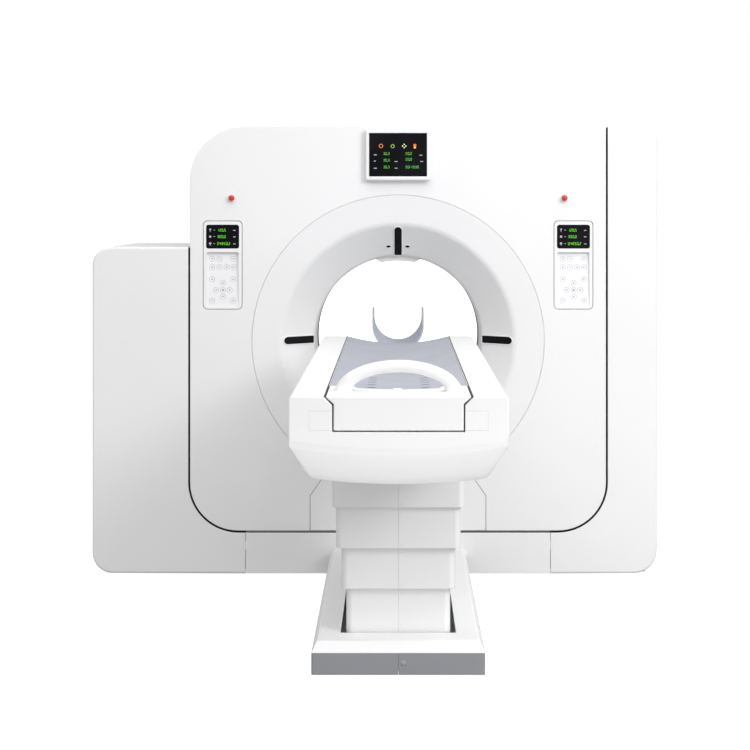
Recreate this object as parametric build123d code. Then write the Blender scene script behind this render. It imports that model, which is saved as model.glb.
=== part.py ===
from build123d import *
import os
from math import acos, atan2, ceil, cos, degrees, hypot, pi, radians, sin, tan

os.makedirs("parts", exist_ok=True)

# Frame: millimetres. X is right as seen from the foot of the table, Y runs along the bore away
# from the table, Z is up. The origin is on the floor, directly below the isocentre.

# Bore and tilting gantry
gantry_foot_z = 183
bore_radius = 350
throat_half_length = 70
gantry_half_width = 864
gantry_rise = 892
gantry_drop = 787
gantry_half_depth = 400
crown_radius = 228
square_corner_radius = 6
foot_radius = 200
cover_wall = 5
cover_flange = 60
cover_joint = 0.8
straight_margin = 20
lap_width = 16

# Bell mouth of the bore
bell_seam_radius = 608
bell_seam = 2
bell_lip_radius = 500
bell_lip_slope = 5
bell_depth = 131
bell_cone_lean = 38
bell_throat_arc = 30
liner_recess = 1.5
rear_mouth_radius = 480
rear_cone_radius = 366
rear_cone_end = 330

# Service panel low in the front cover
panel_half_width = 365
panel_shoulder_height = 145
panel_top_half_width = 288
panel_top_height = 255
panel_lap = 60

# Stationary surround
side_gap = 8
foot_gap = 9
floor_gap = 5
fascia_thickness = 14
foot_seam_inset = 231
seam = 2
cabinet_width = 400
cabinet_height = 1361
cabinet_top_radius = 75
cabinet_bottom_radius = 85
pillar_width = 206
pillar_top_radius = 70
pillar_bottom_radius = 95

# Base frame, towers and tilt drive
foot_height = 15
foot_pad = 70
beam_height = 60
beam_width = 100
beam_wall = 6
beam_y = 300
tower_clearance = 18
tower_width = 110
tower_depth = 260
tower_head = 130
pin_radius = 60
pin_flange_radius = 95
bearing_radius = 85
running_gap = 0.05
pin_port_radius = 110
gear_module = 10
sector_teeth = 60
pinion_teeth = 12
gear_width = 20
gear_backlash = 1.2
gear_plane_gap = 10
sector_half_angle = 38
sector_hub_radius = 90
motor_flange_gap = 2
motor_flange = 8
motor_radius = 65
motor_length = 170
motor_shaft_radius = 15
motor_plate_drop = 130
motor_pillar_y = 112
motor_pillar = 18
tower_wall = 12
rack_width = 190
rack_depth = 300
rack_height = 850
frame_inset = 30
frame_clearance = 20
tab_x = 560
tab_outer_x = 740
tab_width = 40
foot_pad_inset = 52
foot_pad_reach = 104
right_foot_pad_inset = 48

# Rotor, its bearing and its drive
rotor_radius = 720
rotor_bore_radius = 385
rotor_face_y = 110
rotor_plate = 30
race_section = 105
race_gap = 0.5
race_width = 48
frame_plate = 50
frame_plate_radius = 762
frame_bore_inset = 10
slip_ring_clearance = 55
slip_ring_section = 100
slip_ring_width = 24
belt_thickness = 6
belt_clearance = 0.3
pulley_radius = 50
pulley_x = 640
pulley_drop = 560
pulley_shaft_radius = 12
belt_margin = 3
rotor_motor_radius = 70
rotor_motor_length = 130
motor_lobe_radius = 100
web_clearance = 24
web_wall = 40
web_height = 300
web_reach = 110
lug_height = 40
race_outer_radius = 545
race_end_gap = 2
unit_inner = 480
unit_outer = 700
balance_depth = 130
balance_start_angle = 308
balance_sweep = 24
unit_sweep = 50
generator_start_angle = 145
generator_depth = 290
exchanger_start_angle = -15
exchanger_depth = 270
tube_rise = 590
tube_radius = 112
tube_front_y = -200
tube_end = 60
collimator_foot = 400
collimator_half = 70
collimator_slit = 15
detector_radius = 430
detector_depth = 50
detector_half_width = 60
detector_sweep = 60
straight_down_angle = 270

# Front fittings
display_width = 270
display_height = 214
display_rise = 774
display_standoff = 28
screen_width = 240
screen_height = 180
display_corner = 6
screen_depth = 4
screen_sink = 1
keypad_thickness = 1.2
keypanel_width = 160
keypanel_height = 365
keypanel_radius = 17
keypanel_inset = 135
keypanel_rise = 316
keypanel_seam = 2
keypanel_depth = 24
keyscreen_width = 137
keyscreen_height = 99
keyscreen_radius = 10
keyscreen_margin = 14.5
recess_width = 133
recess_height = 228
recess_floor = 4
recess_depth = 14
stop_inset = 173
stop_rise = 595
stop_head_radius = 12.5
stop_stem = 10
stop_stem_gap = 0.3
stop_collar_radius = 17
stop_collar_height = 4
stop_head_height = 12
stop_rest_gap = 0.3
stop_stem_reach = 24
stop_box = 36
stop_travel = 4
window_width = 30
window_outer_radius = 474
window_inner_radius = 356
window_proud = 1.8
seat_gap = 0.3
sensor_x = 40
sensor_rise = 392
pad_half_width = 95
pad_thickness = 20
pad_inset = 6

# Couch
couch_foot_y = -2835
couch_head_y = -600
cut_reach = 100
cut_margin = 20
couch_top = 1007
couch_half_width = 302.5
couch_wall = 6
couch_side_drop = 134
couch_nose_drop = 158
couch_keel_half_width = 256
couch_keel_side_drop = 231
couch_keel_drop = 265
couch_nose_setback = 125
couch_head_drop = 150
couch_head_taper = 300

# Cradle
cradle_half_width = 202.8
cradle_gap = 4
cradle_step = 24
cradle_step_drop = 21
cradle_drop = 94
board_drop = 72
mat_thickness = 8
mat_dish = 29
cap_length = 287
handle_y = -2686
handle_half_width = 180
handle_rise = 93
handle_side = 46
handle_top = 35
handle_foot = 8
handle_thickness = 60
holder_half_width = 106
holder_wall = 4
holder_length = 185
holder_rise = 108
holder_dip = 32
holder_fall = 30
holder_lining = 5
tongue_half = 60
tongue_length = 150
tongue_thickness = 40

# Telescopic column and lift
tier_front_y = -1838
tier_length = 895
tier_seam = 0.8
tier_wall = 4
tier_half_widths = [218.5, 206.5, 189, 173]
tier_drops = [471, 608, 746]
top_tier_lap = 60
tier_heights = [190, 172, 173]
tier_corner = 22
tier_glide = 10
tier_glide_gap = 0.3
fixed_tier_top = 298
mast_positions = [-1600, -1190]
mast_bottom = 20
mast_overlap = 76
mast_half_width = 75
mast_wall = 10
mast_gap = 0.3
frame_floor = 12
frame_plate_half = 160
port_margin = 15
rail_inner = 196
rail_outer = 240
rail_drop = 57
rail_depth = 160
plate_drop = 22
rail_setback = 200
roller_radius = 35
roller_half = 140
roller_shaft_radius = 10
roller_gap = 0.3
drive_roller_y = -930
idler_roller_y = -690
cradle_motor_radius = 28
cradle_motor_half = 90
motor_foot_half_width = 60
motor_foot_half_length = 30
shelf_half_length = 60
shelf_thickness = 8
rail_end_gap = 20
cross_member_half = 20
cross_member_drop = 14
cross_member_rise = 10
well_side_gap = 8
well_floor_rise = 30
shaft_clearance = 3
pump_half = 45
pump_height = 180

# Table base
base_front_y = -1960
base_rear_gap = 0.3
base_half_width = 284
plinth_band_height = 76
base_top = 115
base_inset = 20
base_wall = 6
slot_half_width = 191.5
slot_margin = 6

# Floor anchors
anchor_radius = 9
anchor_y = 190
table_anchor_radius = 7
table_anchor_x = 150
table_anchor_start = 80
table_anchor_pitch = 1300
table_tab_inset = 150
table_foot_inset = 120

# Values worked out from the driving dimensions
front_y = -gantry_half_depth
rear_y = gantry_half_depth
iso_height = gantry_foot_z + gantry_drop
gantry_top_z = iso_height + gantry_rise
plinth_top = gantry_foot_z - foot_gap
surround_x = gantry_half_width + side_gap
foot_seam_x = gantry_half_width - foot_seam_inset
cabinet_outer_x = surround_x + cabinet_width
pillar_outer_x = surround_x + pillar_width
tower_face_x = surround_x + tower_clearance
anchor_x = tower_face_x + tower_width / 2
foot_positions = [-(cabinet_outer_x - frame_inset - foot_pad_inset), -(gantry_half_width - foot_pad_reach),
                  gantry_half_width - foot_pad_reach, pillar_outer_x - frame_inset - right_foot_pad_inset]
web_x = gantry_half_width - web_clearance
keypanel_x = gantry_half_width - keypanel_inset
stop_x = gantry_half_width - stop_inset
fascia_y = front_y + fascia_thickness
bore_axis = Axis((0, 0, iso_height), (0, 1, 0))
beam_top = foot_height + beam_height
bell_drop = (bell_seam_radius - bell_lip_radius) * tan(radians(bell_lip_slope))
bell_lip_y = front_y + bell_drop
bell_end_y = front_y + bell_depth
frame_y = rotor_face_y + rotor_plate + race_width + race_end_gap
race_inner_radius = race_outer_radius - race_section
race_middle = (race_inner_radius + race_outer_radius) / 2
frame_bore_radius = race_inner_radius - frame_bore_inset
slip_ring_inner = race_outer_radius + slip_ring_clearance
slip_ring_outer = slip_ring_inner + slip_ring_section
rail_head = couch_top - rail_drop
rail_foot = rail_head - rail_depth
frame_plate_z = rail_foot - plate_drop
mast_length = (frame_plate_z - mast_bottom + 2 * mast_overlap) / 3
tier_bottoms = [couch_top - drop for drop in tier_drops]
rail_base = base_half_width - 44


def block(x, y, z):
    """A box between two limits on each axis."""
    middle = Pos((x[0] + x[1]) / 2, (y[0] + y[1]) / 2, (z[0] + z[1]) / 2)
    return middle * Box(x[1] - x[0], y[1] - y[0], z[1] - z[0])


def outline(points, radii):
    """A closed outline with a fillet radius at each corner."""
    return make_face(FilletPolyline(*points, radius=radii, close=True))


def slab(face, y_start, y_end):
    """A face drawn in X and Z, run along Y between two stations."""
    return extrude(Plane.XZ.offset(-y_end) * face, y_end - y_start)


def turned(face):
    """A face drawn as radius and Y, turned about the bore's axis."""
    return revolve(Pos(0, 0, iso_height) * face, bore_axis)


def ring(inner, outer, y_start, y_end):
    """A ring about the bore's axis."""
    face = Circle(outer) - Circle(inner)
    return slab(Pos(0, iso_height) * face, y_start, y_end)


def disc(radius, y_start, y_end, x=0, z=iso_height):
    """A cylinder along Y."""
    return slab(Pos(x, z) * Circle(radius), y_start, y_end)


def rod(radius, x_start, x_end, y=0, z=iso_height):
    """A cylinder along X."""
    middle = Pos((x_start + x_end) / 2, y, z)
    return middle * Rot(0, 90, 0) * Cylinder(radius, abs(x_end - x_start))


def both_sides(part):
    """A piece and its mirror image across the middle of the machine."""
    return part + mirror(part, about=Plane.YZ)


def save(name, *pieces):
    """Write one sub-part; pieces that are given apart stay separate solids."""
    solids = [solid for piece in pieces for solid in piece.solids()]
    export_step(solids[0] if len(solids) == 1 else Compound(children=solids), f"parts/{name}.step")


def gantry_outline(grow=0):
    """The tilting gantry from the front: one crown corner is square beside the pillar."""
    half = gantry_half_width + grow
    foot = gantry_foot_z - grow
    top = gantry_top_z + grow
    points = [(-half, foot), (half, foot), (half, top), (-half, top)]
    radii = [foot_radius + grow, foot_radius + grow, square_corner_radius + grow, crown_radius + grow]
    return outline(points, radii)


def bell_lip_arc():
    """The radius of the lip's arc, such that a straight cone joins it to the throat's arc."""
    start, lean = radians(bell_lip_slope), radians(bell_cone_lean)
    run_in = bell_lip_radius - bore_radius - bell_throat_arc * (1 - sin(lean))
    run_back = bell_end_y - bell_lip_y - bell_throat_arc * cos(lean)
    return (run_in * sin(lean) - run_back * cos(lean)) / (1 - cos(lean - start))


def bell_points(depth, lip_bands, throat_bands):
    """Points down the bell at a depth below its surface: rim, lip, cone, throat and straight run."""
    lip_arc = bell_lip_arc()
    start, lean = radians(bell_lip_slope), radians(bell_cone_lean)
    lip_centre = (bell_lip_radius + lip_arc * sin(start), bell_lip_y + lip_arc * cos(start))
    throat_centre = (bore_radius + bell_throat_arc, bell_end_y)
    stations = [(lip_centre, lip_arc, start + (lean - start) * i / lip_bands) for i in range(lip_bands + 1)]
    for i in range(throat_bands + 1):
        stations.append((throat_centre, bell_throat_arc, lean + (pi / 2 - lean) * i / throat_bands))
    points = [(c[0] - (r - depth) * sin(a), c[1] - (r - depth) * cos(a)) for c, r, a in stations]
    seam_radius = bell_seam_radius - bell_seam / 2
    rim = (seam_radius, points[0][1] - (seam_radius - points[0][0]) * tan(start))
    return [rim] + points + [(bore_radius + depth, -throat_half_length)]


def bell_shell(proud, depth, back_bands=(1, 1)):
    """A turned skin of the bell in straight bands, from a height proud of its surface to a depth below."""
    front = bell_points(-proud, 2, 2)
    back = bell_points(depth, *back_bands)
    return turned(make_face(Polyline(*front, *reversed(back), close=True)))


def radial_slot(width, inner, outer, angle, grow=0):
    """A strip that points at the bore's axis, with a round outer end."""
    half = width / 2 + grow
    points = [(inner - grow, -half), (outer + grow, -half), (outer + grow, half), (inner - grow, half)]
    strip = outline(points, [0, half - 0.01, half - 0.01, 0])
    return Pos(0, iso_height) * Rot(0, 0, angle) * strip


def bell_slots(grow=0):
    """The three positioning windows, seen from the front."""
    slots = Sketch()
    for angle in (0, 90, 180):
        slots += radial_slot(window_width, window_inner_radius, window_outer_radius, angle, grow)
    return slots


def sensor_ports(grow=0):
    """The two oval ports beside the upper window, seen from the front."""
    ports = Sketch()
    for side in (-1, 1):
        ports += Pos(side * sensor_x, iso_height + sensor_rise) * Ellipse(9 + grow, 4.5 + grow)
    return ports


def panel_outline(grow=0):
    """The service panel: straight foot, sloped shoulders, and the bell's seam as its top edge."""
    half = panel_half_width + grow
    foot = gantry_foot_z + cover_joint - grow
    shoulder = gantry_foot_z + panel_shoulder_height
    slope = (panel_half_width - panel_top_half_width) / (panel_top_height - panel_shoulder_height)
    top = gantry_foot_z + panel_top_height + panel_lap
    top_half = half - slope * (top - shoulder)
    lower = [(-half, shoulder), (-half, foot), (half, foot), (half, shoulder)]
    face = make_face(Polyline(*lower, (top_half, top), (-top_half, top), close=True))
    return face - Pos(0, iso_height) * Circle(bell_seam_radius + bell_seam / 2 + cover_joint - grow)


def keypanel_outline(side, grow=0):
    shape = RectangleRounded(keypanel_width + 2 * grow, keypanel_height + 2 * grow, keypanel_radius + grow)
    return Pos(side * keypanel_x, iso_height + keypanel_rise) * shape


def stop_opening(start, end):
    """The square passage of a stop button's stem, on both sides of the machine."""
    half = stop_stem / 2 + stop_stem_gap
    z = iso_height + stop_rise
    return both_sides(block((stop_x - half, stop_x + half), (start, end), (z - half, z + half)))


# Tilting covers
def front_cover():
    face = gantry_outline() - Pos(0, iso_height) * Circle(bell_seam_radius + bell_seam / 2)
    face -= panel_outline(cover_joint)
    tray = slab(gantry_outline() - gantry_outline(-cover_wall), front_y, front_y + cover_flange)
    cover = slab(face, front_y, front_y + cover_wall) + tray
    cover -= slab(panel_outline(cover_joint), front_y - 1, front_y + cover_wall)
    for side in (-1, 1):
        cover -= slab(keypanel_outline(side, keypanel_seam), front_y - 1, front_y + cover_wall + 1)
    return cover - stop_opening(front_y, front_y + cover_wall)


def lower_front_panel():
    return slab(panel_outline(), front_y, front_y + cover_wall)


def front_bell():
    lap_y = front_y + cover_wall
    lap = ring(bell_seam_radius - lap_width, bell_seam_radius + lap_width, lap_y, lap_y + cover_wall)
    return bell_shell(0, cover_wall) + lap


def bore_windows():
    """Three positioning windows and two round ports, which lie on the bell and stand a little proud."""
    skin = bell_shell(window_proud, -seat_gap, (2, 2))
    return skin & slab(bell_slots() + sensor_ports(), front_y - window_proud, -throat_half_length)


def bore_liner():
    """The scan window: a thin ring between the ends of both bells, set back a little."""
    inner, outer = bore_radius + liner_recess, bore_radius + cover_wall
    return ring(inner, outer, -throat_half_length, throat_half_length)


def bore_light_cover():
    """A shallow curved pad in the top of the throat, with slanted ends."""
    outer = bore_radius - seat_gap
    inner = bore_radius - pad_thickness
    half_angle = pad_half_width / bore_radius
    ends = []
    for reach, angle in ((outer, half_angle), (inner, half_angle - pad_thickness / bore_radius)):
        ends.append((reach * sin(angle), iso_height + reach * cos(angle)))
    (ox, oz), (ix, iz) = ends
    edges = [
        ThreePointArc((-ox, oz), (0, iso_height + outer), (ox, oz)),
        Line((ox, oz), (ix, iz)),
        ThreePointArc((ix, iz), (0, iso_height + inner), (-ix, iz)),
        Line((-ix, iz), (-ox, oz)),
    ]
    return slab(make_face(edges), bell_end_y + pad_inset, -throat_half_length - pad_inset)


def rear_bell():
    """A gentle cone behind the throat, with a flared mouth that meets the rear cover."""
    flare = (rear_cone_radius + 26, rear_cone_end + 44)
    points = [(bore_radius, throat_half_length), (rear_cone_radius, rear_cone_end), flare,
              (rear_mouth_radius, rear_y), (rear_mouth_radius, rear_y - cover_wall),
              (rear_cone_radius + cover_wall, rear_cone_end),
              (bore_radius + cover_wall, throat_half_length)]
    return turned(make_face(Polyline(*points, close=True)))


def rear_cover():
    face = gantry_outline() - Pos(0, iso_height) * Circle(rear_mouth_radius + cover_joint)
    flange = slab(gantry_outline() - gantry_outline(-cover_wall), rear_y - cover_flange, rear_y)
    return slab(face, rear_y - cover_wall, rear_y) + flange


def casing(x, z):
    """The part of the wrap-round casing that lies between two limits in X and in Z."""
    start = front_y + cover_flange + cover_joint
    wrap = slab(gantry_outline() - gantry_outline(-cover_wall), start, -start)
    wrap -= rod(pin_port_radius, -gantry_half_width - 1, gantry_half_width + 1)
    return wrap & block(x, (front_y, rear_y), z)


def wrap_covers():
    """Two side covers between the foot corners and the crown corners, a top cover and a bottom cover."""
    low = gantry_foot_z + foot_radius + straight_margin
    high = gantry_top_z - crown_radius - straight_margin
    left, right = (-gantry_half_width, 0), (0, gantry_half_width)
    both = (left[0], right[1])
    side_z = (low + cover_joint, high - cover_joint)
    pieces = [casing(left, side_z), casing(right, side_z)]
    return pieces + [casing(both, (high, gantry_top_z)), casing(both, (gantry_foot_z, low))]


save("front_cover", front_cover())
save("lower_front_panel", lower_front_panel())
save("front_bell", front_bell())
save("bore_windows", bore_windows())
save("bore_liner", bore_liner())
save("bore_light_cover", bore_light_cover())
save("rear_bell", rear_bell())
save("rear_cover", rear_cover())
save("wrap_covers", *wrap_covers())


# Stationary surround
def surround_outline(side, outer_x, height, top_radius, bottom_radius):
    """One side of the surround from the front, with the hollow corner that the gantry sits in."""
    foot_x = foot_seam_x + seam / 2
    points = [(foot_x, floor_gap), (outer_x, floor_gap), (outer_x, height),
              (surround_x, height), (surround_x, plinth_top), (foot_x, plinth_top)]
    points = [(side * x, z) for x, z in points]
    return outline(points, [0, bottom_radius, top_radius, 0, foot_radius + foot_gap, 0])


def surround_box(side, outer_x, height, top_radius, bottom_radius):
    """The closed outline of the housing behind the fascia."""
    points = [(surround_x, floor_gap), (outer_x, floor_gap), (outer_x, height), (surround_x, height)]
    points = [(side * x, z) for x, z in points]
    return outline(points, [0, bottom_radius, top_radius, 0])


def surround_cover(side, *sizes):
    """A fascia, and the wrap-round wall behind it, open below for the frame."""
    fascia = slab(surround_outline(side, *sizes), front_y, fascia_y)
    box = surround_box(side, *sizes)
    wall = slab(box - offset(box, -cover_wall), fascia_y, -fascia_y)
    wall -= rod(pin_port_radius, side * (surround_x - 1), side * (surround_x + cover_wall + 1))
    inner_end = side * (surround_x - 1)
    outer_end = side * (sizes[0] - cover_wall)
    wall -= block(sorted((inner_end, outer_end)), (fascia_y, -fascia_y), (0, beam_top + frame_clearance))
    return fascia + wall


def base_frame():
    """Two cross beams and two side beams, with welded tabs that hold the plinth and the fascias."""
    left, right = -cabinet_outer_x + frame_inset, pillar_outer_x - frame_inset
    z = (foot_height, beam_top)
    inner_z = (foot_height + beam_wall, beam_top - beam_wall)
    half = beam_width / 2
    frame = Part()
    for y in (-beam_y, beam_y):
        beam = block((left, right), (y - half, y + half), z)
        frame += beam - block((left, right), (y - half + beam_wall, y + half - beam_wall), inner_z)
    reach = beam_y - half
    for side in (-1, 1):
        x = sorted((side * tower_face_x, side * (tower_face_x + tower_width)))
        frame += block(x, (-reach, reach), z)
        tab = block((tab_x - tab_width / 2, tab_x + tab_width / 2), (beam_y + half, -fascia_y), z)
        outer = Pos(tab_outer_x - tab_x) * tab
        for piece in (tab, outer):
            frame += both_sides(piece if side > 0 else mirror(piece, about=Plane.XZ))
        for y in (-anchor_y, anchor_y):
            place = Pos(side * anchor_x, y, foot_height + beam_height / 2)
            frame -= place * Cylinder(anchor_radius, beam_height)
    return frame


def levelling_feet():
    """The pads under the base frame's beams."""
    half = foot_pad / 2
    feet = Part()
    for x in foot_positions:
        for y in (-beam_y, beam_y):
            feet += block((x - half, x + half), (y - half, y + half), (0, foot_height))
    return feet


def tower(side):
    """A box column on the base frame with a bored head for the tilt bearing."""
    x = sorted((side * tower_face_x, side * (tower_face_x + tower_width)))
    half = tower_depth / 2
    column = block(x, (-half, half), (beam_top, iso_height + tower_head))
    hollow = block((x[0] + tower_wall, x[1] - tower_wall), (-half + tower_wall, half - tower_wall),
                   (beam_top + tower_wall, iso_height + tower_head - tower_wall))
    column = column - hollow + rod(bearing_radius + tower_wall, x[0], x[1])
    return column - rod(bearing_radius, x[0] - 1, x[1] + 1)


def tilt_bearings():
    x = (tower_face_x, tower_face_x + tower_width)
    return both_sides(rod(bearing_radius, *x) - rod(pin_radius + running_gap, *x))


# Tilt drive: a toothed sector on the left pin and a pinion below it, seen along X
pressure_angle = 25


def gear_point(radius, angle):
    return radius * cos(angle), radius * sin(angle)


def tooth(teeth, middle):
    """The points of one tooth: a straight root and an involute flank on each side."""
    pitch = gear_module * teeth / 2
    base = pitch * cos(radians(pressure_angle))
    root, tip = pitch - 1.25 * gear_module, pitch + 0.9 * gear_module
    half = (pi * gear_module / 2 - gear_backlash / 2) / (2 * pitch)
    spread = tan(radians(pressure_angle)) - radians(pressure_angle)

    def flank(radius):
        roll = acos(min(1, base / radius))
        return half + spread - (tan(roll) - roll)

    radii = [root, max(root + 1, base + 0.5), pitch, tip]
    rise = [gear_point(r, middle - flank(r)) for r in radii]
    fall = [gear_point(r, middle + flank(r)) for r in reversed(radii)]
    return rise + fall


def sector_face():
    """The sector points down from the tilt axis: an arm, and a rim of teeth."""
    count = 2 * ceil(sector_half_angle * sector_teeth / 360) - 1
    step = 2 * pi / sector_teeth
    rim = []
    for i in range(count):
        rim += tooth(sector_teeth, -pi / 2 + (i - (count - 1) / 2) * step)
    face = make_face(Polyline(*(rim + [(sector_hub_radius, 0), (-sector_hub_radius, 0)]), close=True))
    return face + Circle(sector_hub_radius) - Circle(pin_radius)


def tilt_sector():
    x = -(tower_face_x + tower_width + gear_plane_gap + gear_width)
    return extrude(Plane.YZ.offset(x) * Pos(0, iso_height) * sector_face(), gear_width)


def pinion_height():
    return iso_height - gear_module * (sector_teeth + pinion_teeth) / 2


def tilt_pinion():
    """The pinion has a tooth gap straight up, where the sector's middle tooth points down."""
    points = []
    for i in range(pinion_teeth):
        points += tooth(pinion_teeth, pi / 2 + (i + 0.5) * 2 * pi / pinion_teeth)
    x = -(tower_face_x + tower_width + gear_plane_gap + gear_width)
    face = make_face(Polyline(*points, close=True))
    gear = extrude(Plane.YZ.offset(x) * Pos(0, pinion_height()) * face, gear_width)
    return gear + rod(motor_shaft_radius, x - motor_flange_gap - motor_flange, x, 0, pinion_height())


def tilt_gearmotor():
    """A flanged gearmotor on four pillars from the tower's outer face."""
    tower_x = -(tower_face_x + tower_width)
    plate_x = tower_x - gear_plane_gap - gear_width - motor_flange_gap
    z = pinion_height()
    low, high = z - motor_plate_drop, z + motor_shaft_radius
    motor = block((plate_x - motor_flange, plate_x), (-tower_depth / 2, tower_depth / 2), (low, high))
    motor += rod(motor_radius, plate_x - motor_flange - motor_length, plate_x - motor_flange, 0, z)
    for y in (-motor_pillar_y, motor_pillar_y):
        motor += block((plate_x, tower_x), (y - motor_pillar / 2, y + motor_pillar / 2), (low, high))
    return motor - rod(motor_shaft_radius + running_gap, plate_x - motor_flange, plate_x + 1, 0, z)


def power_unit():
    """The supply and amplifier rack in the cabinet, seated on the rear cross beam."""
    left = -cabinet_outer_x + frame_inset + 10
    return block((left, left + rack_width), (beam_y - rack_depth / 2, beam_y + beam_width / 2),
                 (beam_top, beam_top + rack_height))


left_sizes = (cabinet_outer_x, cabinet_height, cabinet_top_radius, cabinet_bottom_radius)
right_sizes = (pillar_outer_x, gantry_top_z, pillar_top_radius, pillar_bottom_radius)
plinth_half = foot_seam_x - seam / 2
plinth_z = (floor_gap, plinth_top)

save("left_cabinet_cover", surround_cover(-1, *left_sizes))
save("right_pillar_cover", surround_cover(1, *right_sizes))
save("surround_panels",
     slab(surround_outline(-1, *left_sizes), -fascia_y, rear_y),
     slab(surround_outline(1, *right_sizes), -fascia_y, rear_y),
     block((-plinth_half, plinth_half), (front_y, fascia_y), plinth_z),
     block((-plinth_half, plinth_half), (-fascia_y, rear_y), plinth_z))
save("base_frame", base_frame())
save("towers", tower(-1), tower(1))
save("tilt_bearings", tilt_bearings())
save("power_unit", power_unit())
save("tilt_pinion", tilt_pinion())
save("tilt_gearmotor", tilt_gearmotor())


# Tilting frame
def frame_outline():
    """The cast plate from the front: a disc, two side arms and a lobe for the rotor's motor."""
    plate = Pos(0, iso_height) * Circle(frame_plate_radius)
    plate += Pos(0, iso_height) * Rectangle(2 * web_x, web_height)
    lobe = Pos(pulley_x, iso_height - pulley_drop) * Circle(motor_lobe_radius)
    plate += lobe
    plate -= Pos(0, iso_height) * Circle(frame_bore_radius)
    return plate - Pos(pulley_x, iso_height - pulley_drop) * Circle(pulley_shaft_radius + 2)


def gantry_frame():
    """The plate, with a web at each side that reaches forward to the tilt axis and holds the side cover."""
    frame = slab(frame_outline(), frame_y, frame_y + frame_plate)
    side = block((web_x - web_wall, web_x), (-web_reach, frame_y), (iso_height - web_height / 2,
                                                                   iso_height + web_height / 2))
    gap = gantry_half_width - cover_wall
    for z in (-1, 1):
        middle = iso_height + z * (web_height / 2 - lug_height / 2)
        side += block((web_x, gap), (-web_reach, -web_reach + lug_height),
                      (middle - lug_height / 2, middle + lug_height / 2))
    return frame + both_sides(side)


def tilt_pins():
    """Flanged pins; the left one carries the toothed sector beyond its bearing."""
    flange_end = gantry_half_width - cover_wall - cover_joint
    tower_end = tower_face_x + tower_width
    pins = both_sides(rod(pin_flange_radius, web_x, flange_end) + rod(pin_radius, flange_end, tower_end))
    return pins + rod(pin_radius, -(tower_end + gear_plane_gap + gear_width), -tower_end)


# Rotor
def rotor_frame():
    """The rotor's plate with its balance weight."""
    plate = ring(rotor_bore_radius, rotor_radius, rotor_face_y, rotor_face_y + rotor_plate)
    start = rotor_face_y - balance_depth
    return plate + sector_block(unit_inner, unit_outer, balance_start_angle, balance_sweep, start)


def sector_block(inner, outer, start, sweep, y_start, y_end=None):
    """A housing that fills part of a ring, measured in degrees anticlockwise from the right."""
    end = rotor_face_y if y_end is None else y_end
    first, last = radians(start), radians(start + sweep)
    middle = (first + last) / 2

    def at(radius, angle):
        return radius * cos(angle), iso_height + radius * sin(angle)

    edges = [
        ThreePointArc(at(outer, first), at(outer, middle), at(outer, last)),
        Line(at(outer, last), at(inner, last)),
        ThreePointArc(at(inner, last), at(inner, middle), at(inner, first)),
        Line(at(inner, first), at(outer, first)),
    ]
    return slab(make_face(edges), y_start, end)


def xray_tube():
    """A round housing along the bore, with a thinner cable end and two mounting feet on the rotor."""
    z = iso_height + tube_rise
    tube = disc(tube_radius, tube_front_y, rotor_face_y, 0, z)
    return tube + disc(tube_radius * 0.6, tube_front_y - tube_end, tube_front_y, 0, z)


def collimator():
    """The jaw box between the tube and the bore, open along the fan."""
    top = iso_height + tube_rise - tube_radius
    foot = iso_height + collimator_foot
    box = block((-collimator_half, collimator_half), (-collimator_half, rotor_face_y), (foot, top - 0.5))
    half = collimator_half / 2
    slot = block((-half, half), (-collimator_slit, collimator_slit), (foot, top))
    return box - slot


def detector():
    """The curved detector bank, and the arc that carries it on the rotor."""
    start = straight_down_angle - detector_sweep / 2
    bank = sector_block(detector_radius, detector_radius + detector_depth, start, detector_sweep,
                        -detector_half_width, detector_half_width)
    carrier = sector_block(detector_radius + detector_depth, detector_radius + 2 * detector_depth,
                           start, detector_sweep, -detector_half_width)
    return bank, carrier


def belt_outline(big, small, x, z):
    """The loop round two pulleys: the first at the bore's axis and the second at an offset from it."""
    reach = hypot(x, z)
    line = atan2(z, x)
    lean = acos((big - small) / reach)

    def at(cx, cz, radius, angle):
        return cx + radius * cos(angle), iso_height + cz + radius * sin(angle)

    up, down = line + lean, line - lean
    edges = [
        ThreePointArc(at(0, 0, big, up), at(0, 0, big, line + pi), at(0, 0, big, down)),
        Line(at(0, 0, big, down), at(x, z, small, down)),
        ThreePointArc(at(x, z, small, down), at(x, z, small, line), at(x, z, small, up)),
        Line(at(x, z, small, up), at(0, 0, big, up)),
    ]
    return make_face(edges)


def drive_belt():
    inner = belt_clearance
    outer = belt_clearance + belt_thickness
    place = (pulley_x, -pulley_drop)
    loop = belt_outline(rotor_radius + outer, pulley_radius + outer, *place)
    loop -= belt_outline(rotor_radius + inner, pulley_radius + inner, *place)
    return slab(loop, rotor_face_y + belt_margin, rotor_face_y + rotor_plate - belt_margin)


def drive_pulley():
    place = (pulley_x, iso_height - pulley_drop)
    wheel = disc(pulley_radius, rotor_face_y, rotor_face_y + rotor_plate, *place)
    return wheel + disc(pulley_shaft_radius, rotor_face_y + rotor_plate, frame_y + frame_plate - 0.5, *place)


def rotor_motor():
    start = frame_y + frame_plate
    return disc(rotor_motor_radius, start, start + rotor_motor_length, pulley_x, iso_height - pulley_drop)


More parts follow.
